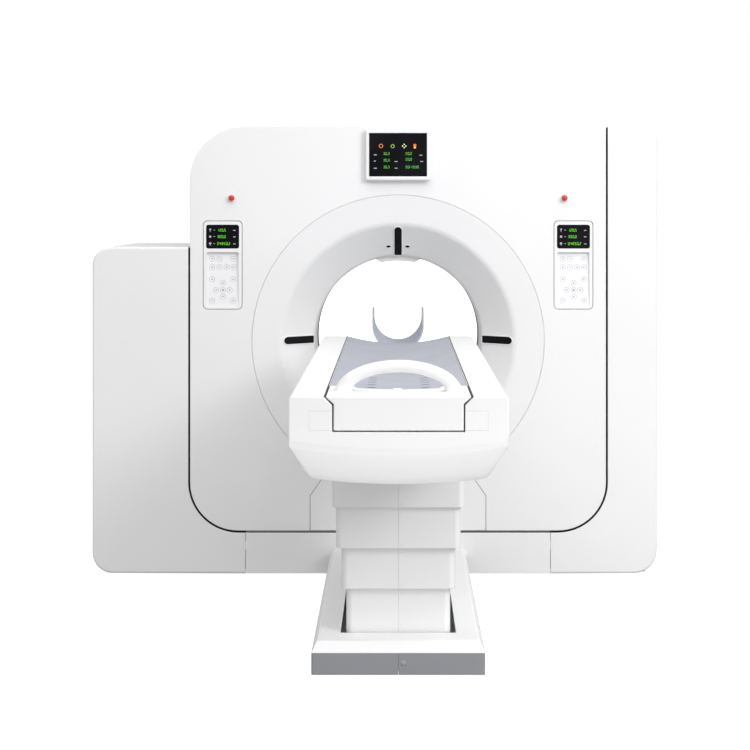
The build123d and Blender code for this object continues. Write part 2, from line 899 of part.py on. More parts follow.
save("gantry_frame", gantry_frame())
save("tilt_trunnions", tilt_pins(), tilt_sector())
save("bearing_outer_race", ring(race_middle + race_gap / 2, race_outer_radius, frame_y - race_width,
                                frame_y))
save("bearing_inner_race", ring(race_inner_radius, race_middle - race_gap / 2, rotor_face_y + rotor_plate,
                                frame_y - race_end_gap))
save("rotor_frame", rotor_frame())
save("slip_ring", ring(slip_ring_inner, slip_ring_outer, rotor_face_y + rotor_plate,
                       rotor_face_y + rotor_plate + slip_ring_width))
save("xray_tube", xray_tube())
save("collimator", collimator())
save("detector", *detector())
save("generator",
     sector_block(unit_inner, unit_outer, generator_start_angle, unit_sweep, rotor_face_y - generator_depth))
save("heat_exchanger",
     sector_block(unit_inner, unit_outer, exchanger_start_angle, unit_sweep, rotor_face_y - exchanger_depth))
save("drive_belt", drive_belt())
save("drive_pulley", drive_pulley())
save("rotor_motor", rotor_motor())


# Front fittings
def display_housing():
    place = Pos(0, iso_height + display_rise)
    start = front_y - display_standoff
    body = slab(place * RectangleRounded(display_width, display_height, display_corner), start, front_y)
    return body - slab(place * Rectangle(screen_width, screen_height), start, start + screen_depth)


def display_screen():
    place = Pos(0, iso_height + display_rise)
    start = front_y - display_standoff
    return slab(place * Rectangle(screen_width, screen_height), start + screen_sink, start + screen_depth)


def keyscreen_outline(side):
    rise = iso_height + keypanel_rise + keypanel_height / 2 - keyscreen_margin - keyscreen_height / 2
    shape = RectangleRounded(keyscreen_width, keyscreen_height, keyscreen_radius)
    return Pos(side * keypanel_x, rise) * shape


def recess_cut(side, raise_by=0):
    """The sloped recess under the screen, deepest at its top."""
    foot = iso_height + keypanel_rise - keypanel_height / 2 + keypanel_radius / 2
    top = foot + recess_height
    x = side * keypanel_x - recess_width / 2
    points = [(front_y - 1, foot), (front_y + recess_floor - raise_by, foot),
              (front_y + recess_depth - raise_by, top), (front_y - 1, top)]
    return extrude(Plane.YZ.offset(x) * make_face(Polyline(*points, close=True)), recess_width)


def control_panel(side):
    """A moulded panel that fills its opening, with a lap behind the cover."""
    panel = slab(keypanel_outline(side), front_y, front_y + keypanel_depth)
    lap_y = front_y + cover_wall
    lap = Rectangle(keypanel_width + lap_width, keypanel_height + lap_width)
    panel += slab(Pos(side * keypanel_x, iso_height + keypanel_rise) * lap, lap_y, lap_y + cover_wall)
    panel -= slab(keyscreen_outline(side), front_y, front_y + screen_depth)
    return panel - recess_cut(side)


def keypad(side):
    """The membrane on the recess's sloped floor."""
    return (recess_cut(side) - recess_cut(side, keypad_thickness)) & block(
        (-gantry_half_width, gantry_half_width), (front_y, rear_y), (0, gantry_top_z))


def control_screen(side):
    return slab(keyscreen_outline(side), front_y + screen_sink, front_y + screen_depth)


def stop_collar():
    start = front_y - stop_collar_height
    collar = disc(stop_collar_radius, start, front_y, stop_x, iso_height + stop_rise)
    return both_sides(collar) - stop_opening(start, front_y)


def stop_switch():
    """The switch housing behind the cover that the stem runs into."""
    start = front_y + cover_wall
    box = slab(Pos(stop_x, iso_height + stop_rise) * Rectangle(stop_box, stop_box), start, start + stop_box)
    return both_sides(box) - stop_opening(start, start + stop_stem_reach)


def stop_button(side):
    """A mushroom head on a square stem."""
    place = (side * stop_x, iso_height + stop_rise)
    back = front_y - stop_collar_height - stop_travel - stop_rest_gap
    head = disc(stop_head_radius, back - stop_head_height, back, *place)
    stem_end = front_y + cover_wall + stop_stem_reach - stop_travel - 1
    return head + slab(Pos(*place) * Rectangle(stop_stem, stop_stem), back, stem_end)


save("display_housing", display_housing())
save("display_screens", display_screen(), control_screen(-1), control_screen(1))
save("control_panels", control_panel(-1), control_panel(1), keypad(-1), keypad(1))
save("stop_housings", stop_collar(), stop_switch())
save("left_stop_button", stop_button(-1))
save("right_stop_button", stop_button(1))


# Couch
def bowed_face(half, side_z, middle_z, top_z):
    """A closed outline with straight sides and a bowed foot."""
    edges = [
        ThreePointArc((-half, side_z), (0, middle_z), (half, side_z)),
        Line((half, side_z), (half, top_z)),
        Line((half, top_z), (-half, top_z)),
        Line((-half, top_z), (-half, side_z)),
    ]
    return make_face(edges)


def couch_section(inset):
    """The couch across its length: flat deck, upright sides, sides drawn in below, bowed keel."""
    half = couch_half_width - inset
    keel_half = couch_keel_half_width - inset
    keel = couch_top - couch_keel_side_drop + inset
    edges = [
        Line((-half, couch_top - inset), (half, couch_top - inset)),
        Line((half, couch_top - inset), (half, couch_top - couch_side_drop)),
        Line((half, couch_top - couch_side_drop), (keel_half, keel)),
        ThreePointArc((keel_half, keel), (0, couch_top - couch_keel_drop + inset), (-keel_half, keel)),
        Line((-keel_half, keel), (-half, couch_top - couch_side_drop)),
        Line((-half, couch_top - couch_side_drop), (-half, couch_top - inset)),
    ]
    return make_face(edges)


def nose_cut(inset):
    """What lies below the slanted face under the couch's nose; its crease is bowed like the keel."""
    drop = couch_keel_drop - couch_nose_drop
    side = couch_top - couch_side_drop + inset
    middle = couch_top - couch_nose_drop + inset
    bow_face = bowed_face(couch_half_width, side, middle, couch_top - 2 * couch_keel_drop)
    start = couch_foot_y - couch_nose_setback + inset
    direction = (0, couch_nose_setback, -drop)
    length = 3 * hypot(couch_nose_setback, drop)
    face = Plane.XZ.offset(-start) * Pos(0, drop) * bow_face
    return extrude(face, length, dir=direction)


def head_cut(inset):
    """What lies below the taper under the head end."""
    low = couch_top - couch_keel_drop
    start = couch_head_y - couch_head_taper
    slope = (couch_keel_drop - couch_head_drop) / couch_head_taper
    rise = inset * hypot(1, slope)
    front, back = start - cut_reach, couch_head_y + cut_reach
    top_front = low - slope * cut_reach + rise
    top_back = low + slope * (couch_head_taper + cut_reach) + rise
    foot = low - 2 * cut_reach
    face = make_face(Polyline((front, top_front), (back, top_back), (back, foot), (front, foot), close=True))
    reach = couch_half_width + cut_margin
    return extrude(Plane.YZ.offset(-reach) * face, 2 * reach)


def couch_body(inset=0):
    """The couch's outer form, or the same form a given depth inside it."""
    body = slab(couch_section(inset), couch_foot_y + inset, couch_head_y - inset)
    return body - nose_cut(inset) - head_cut(inset)


def cradle_section(grow=0, drop=None):
    """The cradle across its length: a wide deck edge over a narrower body."""
    half = cradle_half_width + grow
    low = couch_top - (cradle_drop if drop is None else drop) - grow
    step = couch_top - cradle_step_drop - grow
    body = half - cradle_step
    top = couch_top + (10 if grow else 0)
    points = [(-half, top), (half, top), (half, couch_top), (body, step), (body, low),
              (-body, low), (-body, step), (-half, couch_top)]
    if not grow:
        points = points[:2] + points[3:7]
    return make_face(Polyline(*points, close=True))


def couch_shell():
    """A hollow moulding with the cradle's channel along its deck and a port over the lift."""
    inner = couch_body(couch_wall)
    trough = slab(cradle_section(cradle_gap + couch_wall), couch_foot_y, couch_head_y)
    shell = couch_body() - (inner - trough)
    shell -= slab(cradle_section(cradle_gap), couch_foot_y - 1, couch_head_y + 1)
    port_x = mast_half_width + port_margin
    port_y = (mast_positions[0] - port_x, mast_positions[1] + port_x)
    shell -= block((-port_x, port_x), port_y, (couch_top - 2 * couch_keel_drop, frame_plate_z))
    for y in (drive_roller_y, idler_roller_y):
        well = roller_radius + port_margin / 2
        half = roller_half + well_side_gap
        shell -= block((-half, half), (y - well, y + well), (frame_plate_z + well_floor_rise, couch_top))
        shell -= rod(roller_shaft_radius + shaft_clearance, -rail_outer, rail_outer, y, roller_z())
    return shell


def couch_frame():
    """Two side rails, a plate over the lift columns and cross members, trimmed to the shell's inside."""
    room = couch_body(couch_wall + 1)
    frame = Part()
    for side in (-1, 1):
        x = sorted((side * rail_inner, side * rail_outer))
        frame += block(x, (couch_foot_y + rail_setback, couch_head_y - rail_end_gap), (rail_foot, rail_head))
    plate_y = (mast_positions[0] - mast_half_width, mast_positions[1] + mast_half_width)
    plate_z = (frame_plate_z, frame_plate_z + frame_floor)
    frame += block((-frame_plate_half, frame_plate_half), plate_y, plate_z)
    cross_z = (rail_foot - cross_member_drop, rail_foot + cross_member_rise)
    for y in plate_y:
        frame += block((-rail_outer, rail_outer), (y - cross_member_half, y + cross_member_half), cross_z)
    shelf_y = (drive_roller_y - shelf_half_length, drive_roller_y + shelf_half_length)
    frame += block((-rail_outer, rail_outer), shelf_y, (rail_foot, rail_foot + shelf_thickness))
    frame &= room
    for y in (drive_roller_y, idler_roller_y):
        frame -= rod(roller_shaft_radius + running_gap, -rail_outer, rail_outer, y, roller_z())
    return frame


def roller_z():
    return couch_top - board_drop - roller_gap - roller_radius


def roller(y):
    """A roller under the cradle, on a shaft that runs in both side rails."""
    shaft = rod(roller_shaft_radius, -rail_outer, rail_outer, y, roller_z())
    return shaft + rod(roller_radius, -roller_half, roller_half, y, roller_z())


def cradle_motor():
    """The gearmotor under the drive roller, on the frame's shelf."""
    shelf_top = rail_foot + shelf_thickness
    z = shelf_top + cradle_motor_radius
    foot_y = (drive_roller_y - motor_foot_half_length, drive_roller_y + motor_foot_half_length)
    foot = block((-motor_foot_half_width, motor_foot_half_width), foot_y, (shelf_top, z))
    return foot + rod(cradle_motor_radius, -cradle_motor_half, cradle_motor_half, drive_roller_y, z)


# Cradle
def dish(depth):
    """The circle of the mat's hollow, or the same circle a given depth below it."""
    radius = (cradle_half_width ** 2 + mat_dish ** 2) / (2 * mat_dish)
    return Pos(0, couch_top + radius - mat_dish) * Circle(radius + depth)


def cradle_board():
    section = cradle_section(0, board_drop) - dish(mat_thickness)
    return slab(section, couch_foot_y + cap_length, couch_head_y)


def cradle_mat():
    section = (cradle_section(0, board_drop) & dish(mat_thickness)) - dish(0)
    return slab(section, couch_foot_y + cap_length, couch_head_y)


def arch(half, foot, crown):
    """An outline with an elliptical top and a straight foot."""
    shape = Pos(0, foot) * Ellipse(half, crown - foot)
    return shape & Pos(0, foot + (crown - foot) / 2) * Rectangle(2 * half, crown - foot)


def cradle_cap():
    """The foot end of the cradle, with an upright arched handle moulded on its deck."""
    cap = slab(cradle_section(), couch_foot_y, couch_foot_y + cap_length)
    crown = couch_top + handle_rise
    bow = arch(handle_half_width, couch_top, crown)
    bow -= arch(handle_half_width - handle_side, couch_top + handle_foot, crown - handle_top)
    return cap + slab(bow, handle_y - handle_thickness / 2, handle_y + handle_thickness / 2)


def trough_section(half):
    """A U with a round foot and straight upright walls, seen from the foot end."""
    top = couch_top + 2 * holder_rise
    centre = couch_top - mat_dish - holder_dip - holder_wall + holder_half_width
    face = Pos(0, centre) * Circle(half)
    return face + Pos(0, (centre + top) / 2) * Rectangle(2 * half, top - centre)


def trough(half):
    """The room inside a trough that rises towards the head, up to its level rim."""
    start = Plane.XZ.offset(-couch_head_y)
    way = (0, holder_length, holder_fall)
    run = extrude(start * trough_section(half), hypot(holder_length, holder_fall), dir=way)
    rim = couch_top + holder_rise
    over_y = (couch_head_y - 1, couch_head_y + holder_length + 1)
    return run - block((-2 * half, 2 * half), over_y, (rim, 2 * rim))


def head_holder():
    """A thin trough on a tongue that bolts to the end of the cradle."""
    hollow = trough(holder_half_width - holder_wall)
    low = couch_top - board_drop
    tongue = block((-tongue_half, tongue_half), (couch_head_y, couch_head_y + tongue_length),
                   (low, low + tongue_thickness))
    return trough(holder_half_width) + tongue - hollow


def head_pad():
    return trough(holder_half_width - holder_wall) - trough(holder_half_width - holder_wall - holder_lining)


# Telescopic column
def tier_section(index, inset):
    """One sleeve's outline from above, drawn in by a distance."""
    half = tier_half_widths[index]
    grow = half - tier_half_widths[-1]
    length = tier_length + 2 * (grow - inset)
    corner = max(tier_corner - inset, 1)
    return Pos(0, tier_front_y + tier_length / 2) * RectangleRounded(2 * (half - inset), length, corner)


def tier(index, low, high):
    """One rectangular sleeve of the column, in two halves; a lip at its foot glides on the next sleeve."""
    sleeve = extrude(Pos(0, 0, low) * (tier_section(index, 0) - tier_section(index, tier_wall)), high - low)
    if index + 1 < len(tier_half_widths):
        lip = tier_section(index, 0) - tier_section(index + 1, -tier_glide_gap)
        sleeve += extrude(Pos(0, 0, low) * lip, tier_glide)
    reach = tier_half_widths[0] + tier_length
    return sleeve - block((-tier_seam / 2, tier_seam / 2), (-2 * reach, 0), (low - 1, high + 1))


def top_tier():
    """The top sleeve ends against the couch's keel."""
    low = tier_bottoms[0]
    return tier(0, low, low + tier_heights[0] + top_tier_lap) - couch_body()


def mast(stage):
    """One stage of both lift columns, counted up from the fixed one."""
    shrink = stage * (mast_wall + mast_gap)
    half = mast_half_width - shrink
    low = mast_bottom + stage * (mast_length - mast_overlap)
    columns = []
    for y in mast_positions:
        tube = block((-half, half), (y - half, y + half), (low, low + mast_length))
        bore = half - mast_wall
        columns.append(tube - block((-bore, bore), (y - bore, y + bore), (low, low + mast_length)))
    return columns


# Table base
def base_frame_table():
    """The table's floor plate with two side rails."""
    rear = front_y - base_rear_gap
    y = (base_front_y + base_wall + 10, rear - 20)
    frame = block((-rail_base, rail_base), y, (foot_height, mast_bottom))
    for side in (-1, 1):
        x = sorted((side * rail_base, side * (rail_base - 40)))
        frame += block(x, y, (mast_bottom, mast_bottom + 50))
    tab_z = (mast_bottom, plinth_band_height - 10)
    for y_tab in (y[0] + table_tab_inset, (y[0] + y[1]) / 2, y[1] - table_tab_inset):
        frame += both_sides(block((rail_base, base_half_width - base_wall), (y_tab - 20, y_tab + 20), tab_z))
    for x in (-table_anchor_x, table_anchor_x):
        for step in (0, table_anchor_pitch):
            place = Pos(x, base_front_y + table_anchor_start + step, foot_height)
            frame -= place * Cylinder(table_anchor_radius, beam_height)
    return frame


def table_feet():
    half = foot_pad / 2
    feet = Part()
    for x in (-rail_base + 40, rail_base - 40):
        for y in (base_front_y + table_foot_inset, (base_front_y + front_y) / 2, front_y - table_foot_inset):
            feet += block((x - half, x + half), (y - half, y + half), (0, foot_height))
    return feet


def plinth_band():
    """The grey kick band round the table's base, in two halves."""
    rear = front_y - base_rear_gap
    z = (floor_gap, plinth_band_height)
    outer = block((-base_half_width, base_half_width), (base_front_y, rear), z)
    inner = base_half_width - base_wall
    band = outer - block((-inner, inner), (base_front_y + base_wall, rear - base_wall), z)
    return band - block((-tier_seam / 2, tier_seam / 2), (base_front_y - 1, rear + 1), z)


def base_cover():
    """The white skirt on the band: sloped at the front and sides, with a slot for the column."""
    rear = front_y - base_rear_gap

    def level(inset, z):
        half = base_half_width - inset
        middle = (base_front_y + inset + rear) / 2
        return Pos(0, middle, z) * Rectangle(2 * half, rear - base_front_y - inset)

    skin = loft([level(0, plinth_band_height), level(base_inset, base_top)])
    room_foot = level(base_wall, plinth_band_height - 0.001)
    skin -= loft([room_foot, level(base_inset + base_wall, base_top - base_wall)])
    slot_y = (tier_front_y - slot_margin, tier_front_y + tier_length + slot_margin)
    return skin - block((-slot_half_width, slot_half_width), slot_y, (plinth_band_height, base_top + 1))


def lift_pump():
    """The lift's power pack, on the floor plate between the two columns."""
    middle = (mast_positions[0] + mast_positions[1]) / 2
    return block((-pump_half, pump_half), (middle - pump_half, middle + pump_half),
                 (mast_bottom, mast_bottom + pump_height))


save("couch_shell", couch_shell())
save("couch_frame", couch_frame())
save("drive_roller", roller(drive_roller_y))
save("idler_roller", roller(idler_roller_y))
save("cradle_motor", cradle_motor())
save("cradle_board", cradle_board())
save("cradle_mat", cradle_mat())
save("cradle_cap", cradle_cap())
save("head_holder", head_holder())
save("head_pad", head_pad())
save("tier_1", top_tier())
save("tier_2", tier(1, tier_bottoms[1], tier_bottoms[1] + tier_heights[1]))
save("tier_3", tier(2, tier_bottoms[2], tier_bottoms[2] + tier_heights[2]))
save("fixed_tier", tier(3, mast_bottom, fixed_tier_top))
save("lift_mast_outer", *mast(0))
save("lift_mast_middle", *mast(1))
save("lift_mast_inner", *mast(2))
save("table_frame", base_frame_table())
save("plinth_band", plinth_band())
save("base_cover", base_cover())
save("lift_pump", lift_pump())
save("levelling_feet", levelling_feet(), table_feet())
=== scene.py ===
from math import acos, asin, atan2, cos, hypot, pi, radians, sin, tan

import bmesh
import bpy
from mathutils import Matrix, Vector


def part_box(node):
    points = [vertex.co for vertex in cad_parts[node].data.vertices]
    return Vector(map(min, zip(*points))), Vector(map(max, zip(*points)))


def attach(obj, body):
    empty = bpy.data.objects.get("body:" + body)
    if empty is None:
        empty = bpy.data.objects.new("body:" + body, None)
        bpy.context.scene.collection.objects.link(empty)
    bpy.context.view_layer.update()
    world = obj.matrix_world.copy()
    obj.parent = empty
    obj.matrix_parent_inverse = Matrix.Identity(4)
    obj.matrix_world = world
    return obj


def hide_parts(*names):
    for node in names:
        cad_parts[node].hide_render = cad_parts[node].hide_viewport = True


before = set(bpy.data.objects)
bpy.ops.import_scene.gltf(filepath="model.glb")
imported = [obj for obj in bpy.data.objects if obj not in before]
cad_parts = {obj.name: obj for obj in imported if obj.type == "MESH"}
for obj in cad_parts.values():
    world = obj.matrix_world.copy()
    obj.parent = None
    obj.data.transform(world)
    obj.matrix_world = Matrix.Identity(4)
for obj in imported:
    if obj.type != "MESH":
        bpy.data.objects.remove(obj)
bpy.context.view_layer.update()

# Everything is in metres. X is right as seen from the foot of the table, Y runs along the bore.
liner_low, liner_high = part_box("bore_liner")
iso = (liner_low.z + liner_high.z) / 2
cover_low, cover_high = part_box("front_cover")
front = cover_low.y
rear = -front
gantry_half = cover_high.x
gantry_foot = cover_low.z
couch_low, couch_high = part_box("couch_shell")
deck = couch_high.z


# Camera, floor and light
def camera_at_foot_of_table():
    """A level camera that looks along the bore, shifted to the photograph's framing."""
    lens = bpy.data.cameras.new("camera")
    lens.sensor_width = 36
    lens.lens = 82.94
    lens.shift_x = -0.02911
    lens.shift_y = -0.22384
    lens.clip_end = 200
    camera = bpy.data.objects.new("camera", lens)
    camera.location = (-0.00493, -7.5798, 1.52718)
    camera.rotation_euler = (pi / 2, 0, 0)
    bpy.context.collection.objects.link(camera)
    bpy.context.scene.camera = camera


def soft_box(name, place, aim, size, power, angle=180):
    lamp = bpy.data.lights.new(name, "AREA")
    lamp.shape = "RECTANGLE"
    lamp.size, lamp.size_y = size
    lamp.energy = power
    lamp.spread = radians(angle)
    light = bpy.data.objects.new(name, lamp)
    light.location = place
    light.visible_camera = False
    light.rotation_euler = (Vector(aim) - Vector(place)).to_track_quat("-Z", "Y").to_euler()
    bpy.context.collection.objects.link(light)


def studio():
    """White surroundings for the eye, dimmer ones for the light, and seven soft lamps."""
    world = bpy.data.worlds.new("studio")
    bpy.context.scene.world = world
    bpy.context.scene.view_settings.view_transform = "Standard"
    world.use_nodes = True
    nodes, links = world.node_tree.nodes, world.node_tree.links
    glow = nodes["Background"]
    glow.inputs["Color"].default_value = (1, 1, 1, 1)
    place = nodes.new("ShaderNodeTexCoord")
    height = nodes.new("ShaderNodeSeparateXYZ")
    level = nodes.new("ShaderNodeMapRange")
    level.interpolation_type = "SMOOTHSTEP"
    level.inputs["From Min"].default_value = -0.6
    level.inputs["From Max"].default_value = 0.8
    level.inputs["To Min"].default_value = 0.34
    level.inputs["To Max"].default_value = 0.76
    links.new(place.outputs["Generated"], height.inputs["Vector"])
    links.new(height.outputs["Z"], level.inputs["Value"])
    links.new(level.outputs["Result"], glow.inputs["Strength"])
    backdrop = nodes.new("ShaderNodeBackground")
    backdrop.inputs["Color"].default_value = (1, 1, 1, 1)
    backdrop.inputs["Strength"].default_value = 1.0
    seen = nodes.new("ShaderNodeLightPath")
    choice = nodes.new("ShaderNodeMixShader")
    links.new(seen.outputs["Is Camera Ray"], choice.inputs["Fac"])
    links.new(glow.outputs["Background"], choice.inputs[1])
    links.new(backdrop.outputs["Background"], choice.inputs[2])
    links.new(choice.outputs["Shader"], nodes["World Output"].inputs["Surface"])
    soft_box("top_light", (0.4, -3.5, 5.2), (0.1, -2.2, 0), (6.0, 4.6), 142)
    soft_box("key_light", (3.6, -4.4, 3.6), (0.2, -0.6, 0.9), (2.0, 1.8), 128)
    soft_box("floor_light", (0.2, -4.4, 0.05), (0, -1.5, 1.0), (3.0, 1.5), 6)
    soft_box("left_floor_light", (-2.4, -3.4, 0.05), (-1.1, -0.6, 0.6), (1.2, 1.0), 7)
    soft_box("right_floor_light", (2.1, -3.6, 0.05), (0.8, -0.6, 0.7), (1.4, 1.0), 12)
    soft_box("nose_light", (0, -3.05, 0.05), (0, -3.3, 1.05), (1.4, 0.3), 4.2, 120)
    soft_box("base_light", (0, -2.9, 0.62), (0, -1.98, 0.14), (1.1, 0.06), 0.2, 50)


camera_at_foot_of_table()
studio()


# Finishes
class Finish:
    """A material under construction: its nodes, its links and its shader."""

    def __init__(self, name, colour, roughness, metallic=0.0):
        self.material = bpy.data.materials.new(name)
        self.material.use_nodes = True
        self.tree = self.material.node_tree
        self.shader = self.tree.nodes["Principled BSDF"]
        self.shader.inputs["Base Color"].default_value = (*colour, 1)
        self.shader.inputs["Roughness"].default_value = roughness
        self.shader.inputs["Metallic"].default_value = metallic
        self.place = self.tree.nodes.new("ShaderNodeTexCoord").outputs["Object"]

    def node(self, kind, **settings):
        made = self.tree.nodes.new(kind)
        for key, value in settings.items():
            setattr(made, key, value)
        return made

    def join(self, start, end):
        self.tree.links.new(start, end)

    def stretched(self, scale):
        mapping = self.node("ShaderNodeMapping")
        mapping.inputs["Scale"].default_value = scale
        self.join(self.place, mapping.inputs["Vector"])
        return mapping.outputs["Vector"]

    def noise(self, scale, detail, stretch=None):
        cloud = self.node("ShaderNodeTexNoise")
        cloud.inputs["Scale"].default_value = scale
        cloud.inputs["Detail"].default_value = detail
        self.join(self.stretched(stretch) if stretch else self.place, cloud.inputs["Vector"])
        return cloud.outputs["Fac"]

    def cells(self, scale):
        pattern = self.node("ShaderNodeTexVoronoi")
        pattern.inputs["Scale"].default_value = scale
        self.join(self.place, pattern.inputs["Vector"])
        return pattern.outputs["Distance"]

    def tinted(self, source, low, high):
        """The colour changes between two tints along a pattern."""
        ramp = self.node("ShaderNodeValToRGB")
        ramp.color_ramp.elements[0].position = 0.35
        ramp.color_ramp.elements[1].position = 0.65
        ramp.color_ramp.elements[0].color = (*low, 1)
        ramp.color_ramp.elements[1].color = (*high, 1)
        self.join(source, ramp.inputs["Fac"])
        self.join(ramp.outputs["Color"], self.shader.inputs["Base Color"])

    def glossed(self, source, low, high):
        """The roughness changes between two values along a pattern."""
        span = self.node("ShaderNodeMapRange")
        span.inputs["To Min"].default_value = low
        span.inputs["To Max"].default_value = high
        self.join(source, span.inputs["Value"])
        self.join(span.outputs["Result"], self.shader.inputs["Roughness"])

    def raised(self, source, strength, height):
        """A pattern stands out of the surface; each call adds to the ones before."""
        bump = self.node("ShaderNodeBump")
        bump.inputs["Strength"].default_value = strength
        bump.inputs["Distance"].default_value = height
        self.join(source, bump.inputs["Height"])
        below = self.shader.inputs["Normal"].links
        if below:
            self.join(below[0].from_socket, bump.inputs["Normal"])
        self.join(bump.outputs["Normal"], self.shader.inputs["Normal"])


def shade(colour, factor):
    return tuple(part * factor for part in colour)


def painted(name, colour, roughness=0.38, coat=0.15, peel=0.12):
    """Sprayed or moulded cover: faint cloudy tint, fine orange peel, a thin coat."""
    made = Finish(name, colour, roughness)
    made.tinted(made.noise(1.3, 4), shade(colour, 0.975), colour)
    made.glossed(made.noise(9, 3), roughness - 0.05, roughness + 0.07)
    made.raised(made.noise(620, 2), peel, 0.0004)
    made.shader.inputs["Coat Weight"].default_value = coat
    made.shader.inputs["Coat Roughness"].default_value = 0.25
    return made.material


def vinyl(name, colour):
    """Upholstery skin: pebbled grain over a slow change of tint."""
    made = Finish(name, colour, 0.5)
    made.tinted(made.noise(7, 5), shade(colour, 0.94), shade(colour, 1.05))
    made.glossed(made.noise(40, 4), 0.42, 0.6)
    made.raised(made.cells(520), 0.25, 0.0005)
    made.raised(made.noise(900, 3), 0.15, 0.0003)
    made.shader.inputs["Sheen Weight"].default_value = 0.15
    return made.material


def metal(name, colour, roughness):
    """Turned, drawn or milled metal with fine lines along one direction."""
    made = Finish(name, colour, roughness, 1.0)
    lines = made.noise(30, 5, (1, 40, 40))
    made.tinted(lines, shade(colour, 0.86), colour)
    made.glossed(lines, roughness - 0.08, roughness + 0.1)
    made.raised(lines, 0.08, 0.0003)
    return made.material


def black_glass(name, colour=(0.006, 0.006, 0.007)):
    """Dark satin window: nearly black, with faint finger smears in the gloss."""
    made = Finish(name, colour, 0.3)
    made.tinted(made.noise(3, 3), colour, shade(colour, 2.2))
    made.glossed(made.noise(24, 5), 0.28, 0.4)
    made.shader.inputs["Specular IOR Level"].default_value = 0.08
    return made.material


# Matte grained finish for dark strips and patches of painted shade, put where gaps and slots lie in shade
def painted_shade_rubber(name, colour):
    made = Finish(name, colour, 0.8)
    made.tinted(made.noise(14, 5), shade(colour, 0.75), shade(colour, 1.3))
    made.raised(made.noise(420, 4), 0.3, 0.0004)
    return made.material


def lamp(name, colour, strength):
    """A lit mark on a screen, its tint a little uneven."""
    made = Finish(name, colour, 0.4)
    made.tinted(made.noise(500, 2), shade(colour, 0.8), colour)
    made.shader.inputs["Emission Color"].default_value = (*colour, 1)
    made.shader.inputs["Emission Strength"].default_value = strength
    return made.material


cover_white = painted("cover_white", (0.86, 0.86, 0.865))
bell_white = painted("bell_white", (0.85, 0.85, 0.855), 0.42, 0.1)
tier_white = painted("tier_white", (0.8, 0.8, 0.8), 0.4, 0.1)
# Painted shade: the near-black liner stands in for the shadow on the bore's inner wall
liner_grey = painted("liner_grey", (0.10, 0.10, 0.105), 0.5, 0.0)
panel_grey = painted("panel_grey", (0.87, 0.87, 0.88), 0.5, 0.0, 0.2)
plinth_grey = painted("plinth_grey", (0.27, 0.275, 0.295), 0.5, 0.0, 0.3)
inset_grey = painted("inset_grey", (0.55, 0.55, 0.56), 0.5, 0.0)
stop_red = painted("stop_red", (0.62, 0.02, 0.015), 0.3, 0.4)
mat_blue = vinyl("mat_blue", (0.325, 0.34, 0.40))
pad_grey = vinyl("pad_grey", (0.42, 0.44, 0.51))
window_black = black_glass("window_black")
screen_black = black_glass("screen_black", (0.004, 0.004, 0.005))
# Painted shade: near-black strips in the gaps round the gantry and beside the cradle
gap_shade_dark = painted_shade_rubber("gap_shade_dark", (0.03, 0.03, 0.032))
# Painted shade: dark patches where the mat's strap slots lie in shade
slot_shade_dark = painted_shade_rubber("slot_shade_dark", (0.12, 0.125, 0.14))
steel = metal("steel", (0.55, 0.56, 0.58), 0.35)
aluminium = metal("aluminium", (0.75, 0.76, 0.78), 0.4)

# Hidden CAD nodes that take another of the frame's own materials than the one they come with
cad_materials = {
    "cast_grey": ("rotor_frame", "tilt_bearings"),
    "steel": ("lift_mast_inner", "lift_mast_middle", "lift_mast_outer"),
    "aluminium": ("collimator", "detector", "drive_roller", "idler_roller"),
}


def change_cad_materials():
    for name, nodes in cad_materials.items():
        for node in nodes:
            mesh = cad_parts[node].data
            mesh.materials.clear()
            mesh.materials.append(bpy.data.materials[name])


change_cad_materials()


# Tools for meshes
sharp_degrees = 32


def plain_mesh(name, shape):
    mesh = bpy.data.meshes.new(name)
    shape.to_mesh(mesh)
    shape.free()
    return mesh


def piece(name, mesh, finish, body, smooth=40, weighted=True):
    """A finished mesh as an object that rides on a body.
    """
    if isinstance(mesh, bmesh.types.BMesh):
        mesh = plain_mesh(name, mesh)
    mesh.name = name
    mesh.materials.clear()
    mesh.materials.append(finish)
    mesh.shade_smooth()
    mesh.set_sharp_from_angle(angle=radians(smooth))
    made = bpy.data.objects.new(name, mesh)
    bpy.context.collection.objects.link(made)
    if weighted:
        even = made.modifiers.new("even_shading", "WEIGHTED_NORMAL")
        even.keep_sharp = True
    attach(made, body)
    return made


def finished(node, mesh, finish, body, smooth=40):
    """A finished mesh in place of a CAD node."""
    made = piece(node + "_finished", mesh, finish, body, smooth)
    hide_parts(node)
    return made


def skin(shape, rings, closed):
    """Faces between rings of points; the rings join up again, or end in two caps."""
    rows = [[shape.verts.new(point) for point in ring] for ring in rings]
    pairs = list(zip(rows, rows[1:]))
    if closed:
        pairs.append((rows[-1], rows[0]))
    for low, high in pairs:
        for i in range(len(low)):
            j = (i + 1) % len(low)
            shape.faces.new((low[i], low[j], high[j], high[i]))
    if not closed:
        shape.faces.new(list(reversed(rows[0])))
        shape.faces.new(rows[-1])


def tidy_mesh(shape):
    """Merge what lies together, drop empty faces and turn every face outwards."""
    gap = 1e-6
    bmesh.ops.remove_doubles(shape, verts=shape.verts, dist=gap)
    bmesh.ops.dissolve_degenerate(shape, dist=gap, edges=shape.edges)
    bmesh.ops.recalc_face_normals(shape, faces=shape.faces)


def solid(*groups, closed=False):
    """One clean mesh from groups of rings, each group a skin of its own."""
    shape = bmesh.new()
    for rings in groups:
        skin(shape, rings, closed)
    tidy_mesh(shape)
    return shape


def spread(start, end, count):
    return [start + (end - start) * i / count for i in range(count + 1)]


def around(count, start=0.0):
    """Angles at even steps round a circle."""
    return [start + 2 * pi * i / count for i in range(count)]


def soft_edge(radius, steps):
    """A rounded edge from side to face, as pairs: the distance to the face and the inset from the side."""
    return [(radius * (1 - sin(a)), radius * (1 - cos(a))) for a in spread(0, pi / 2, steps)]


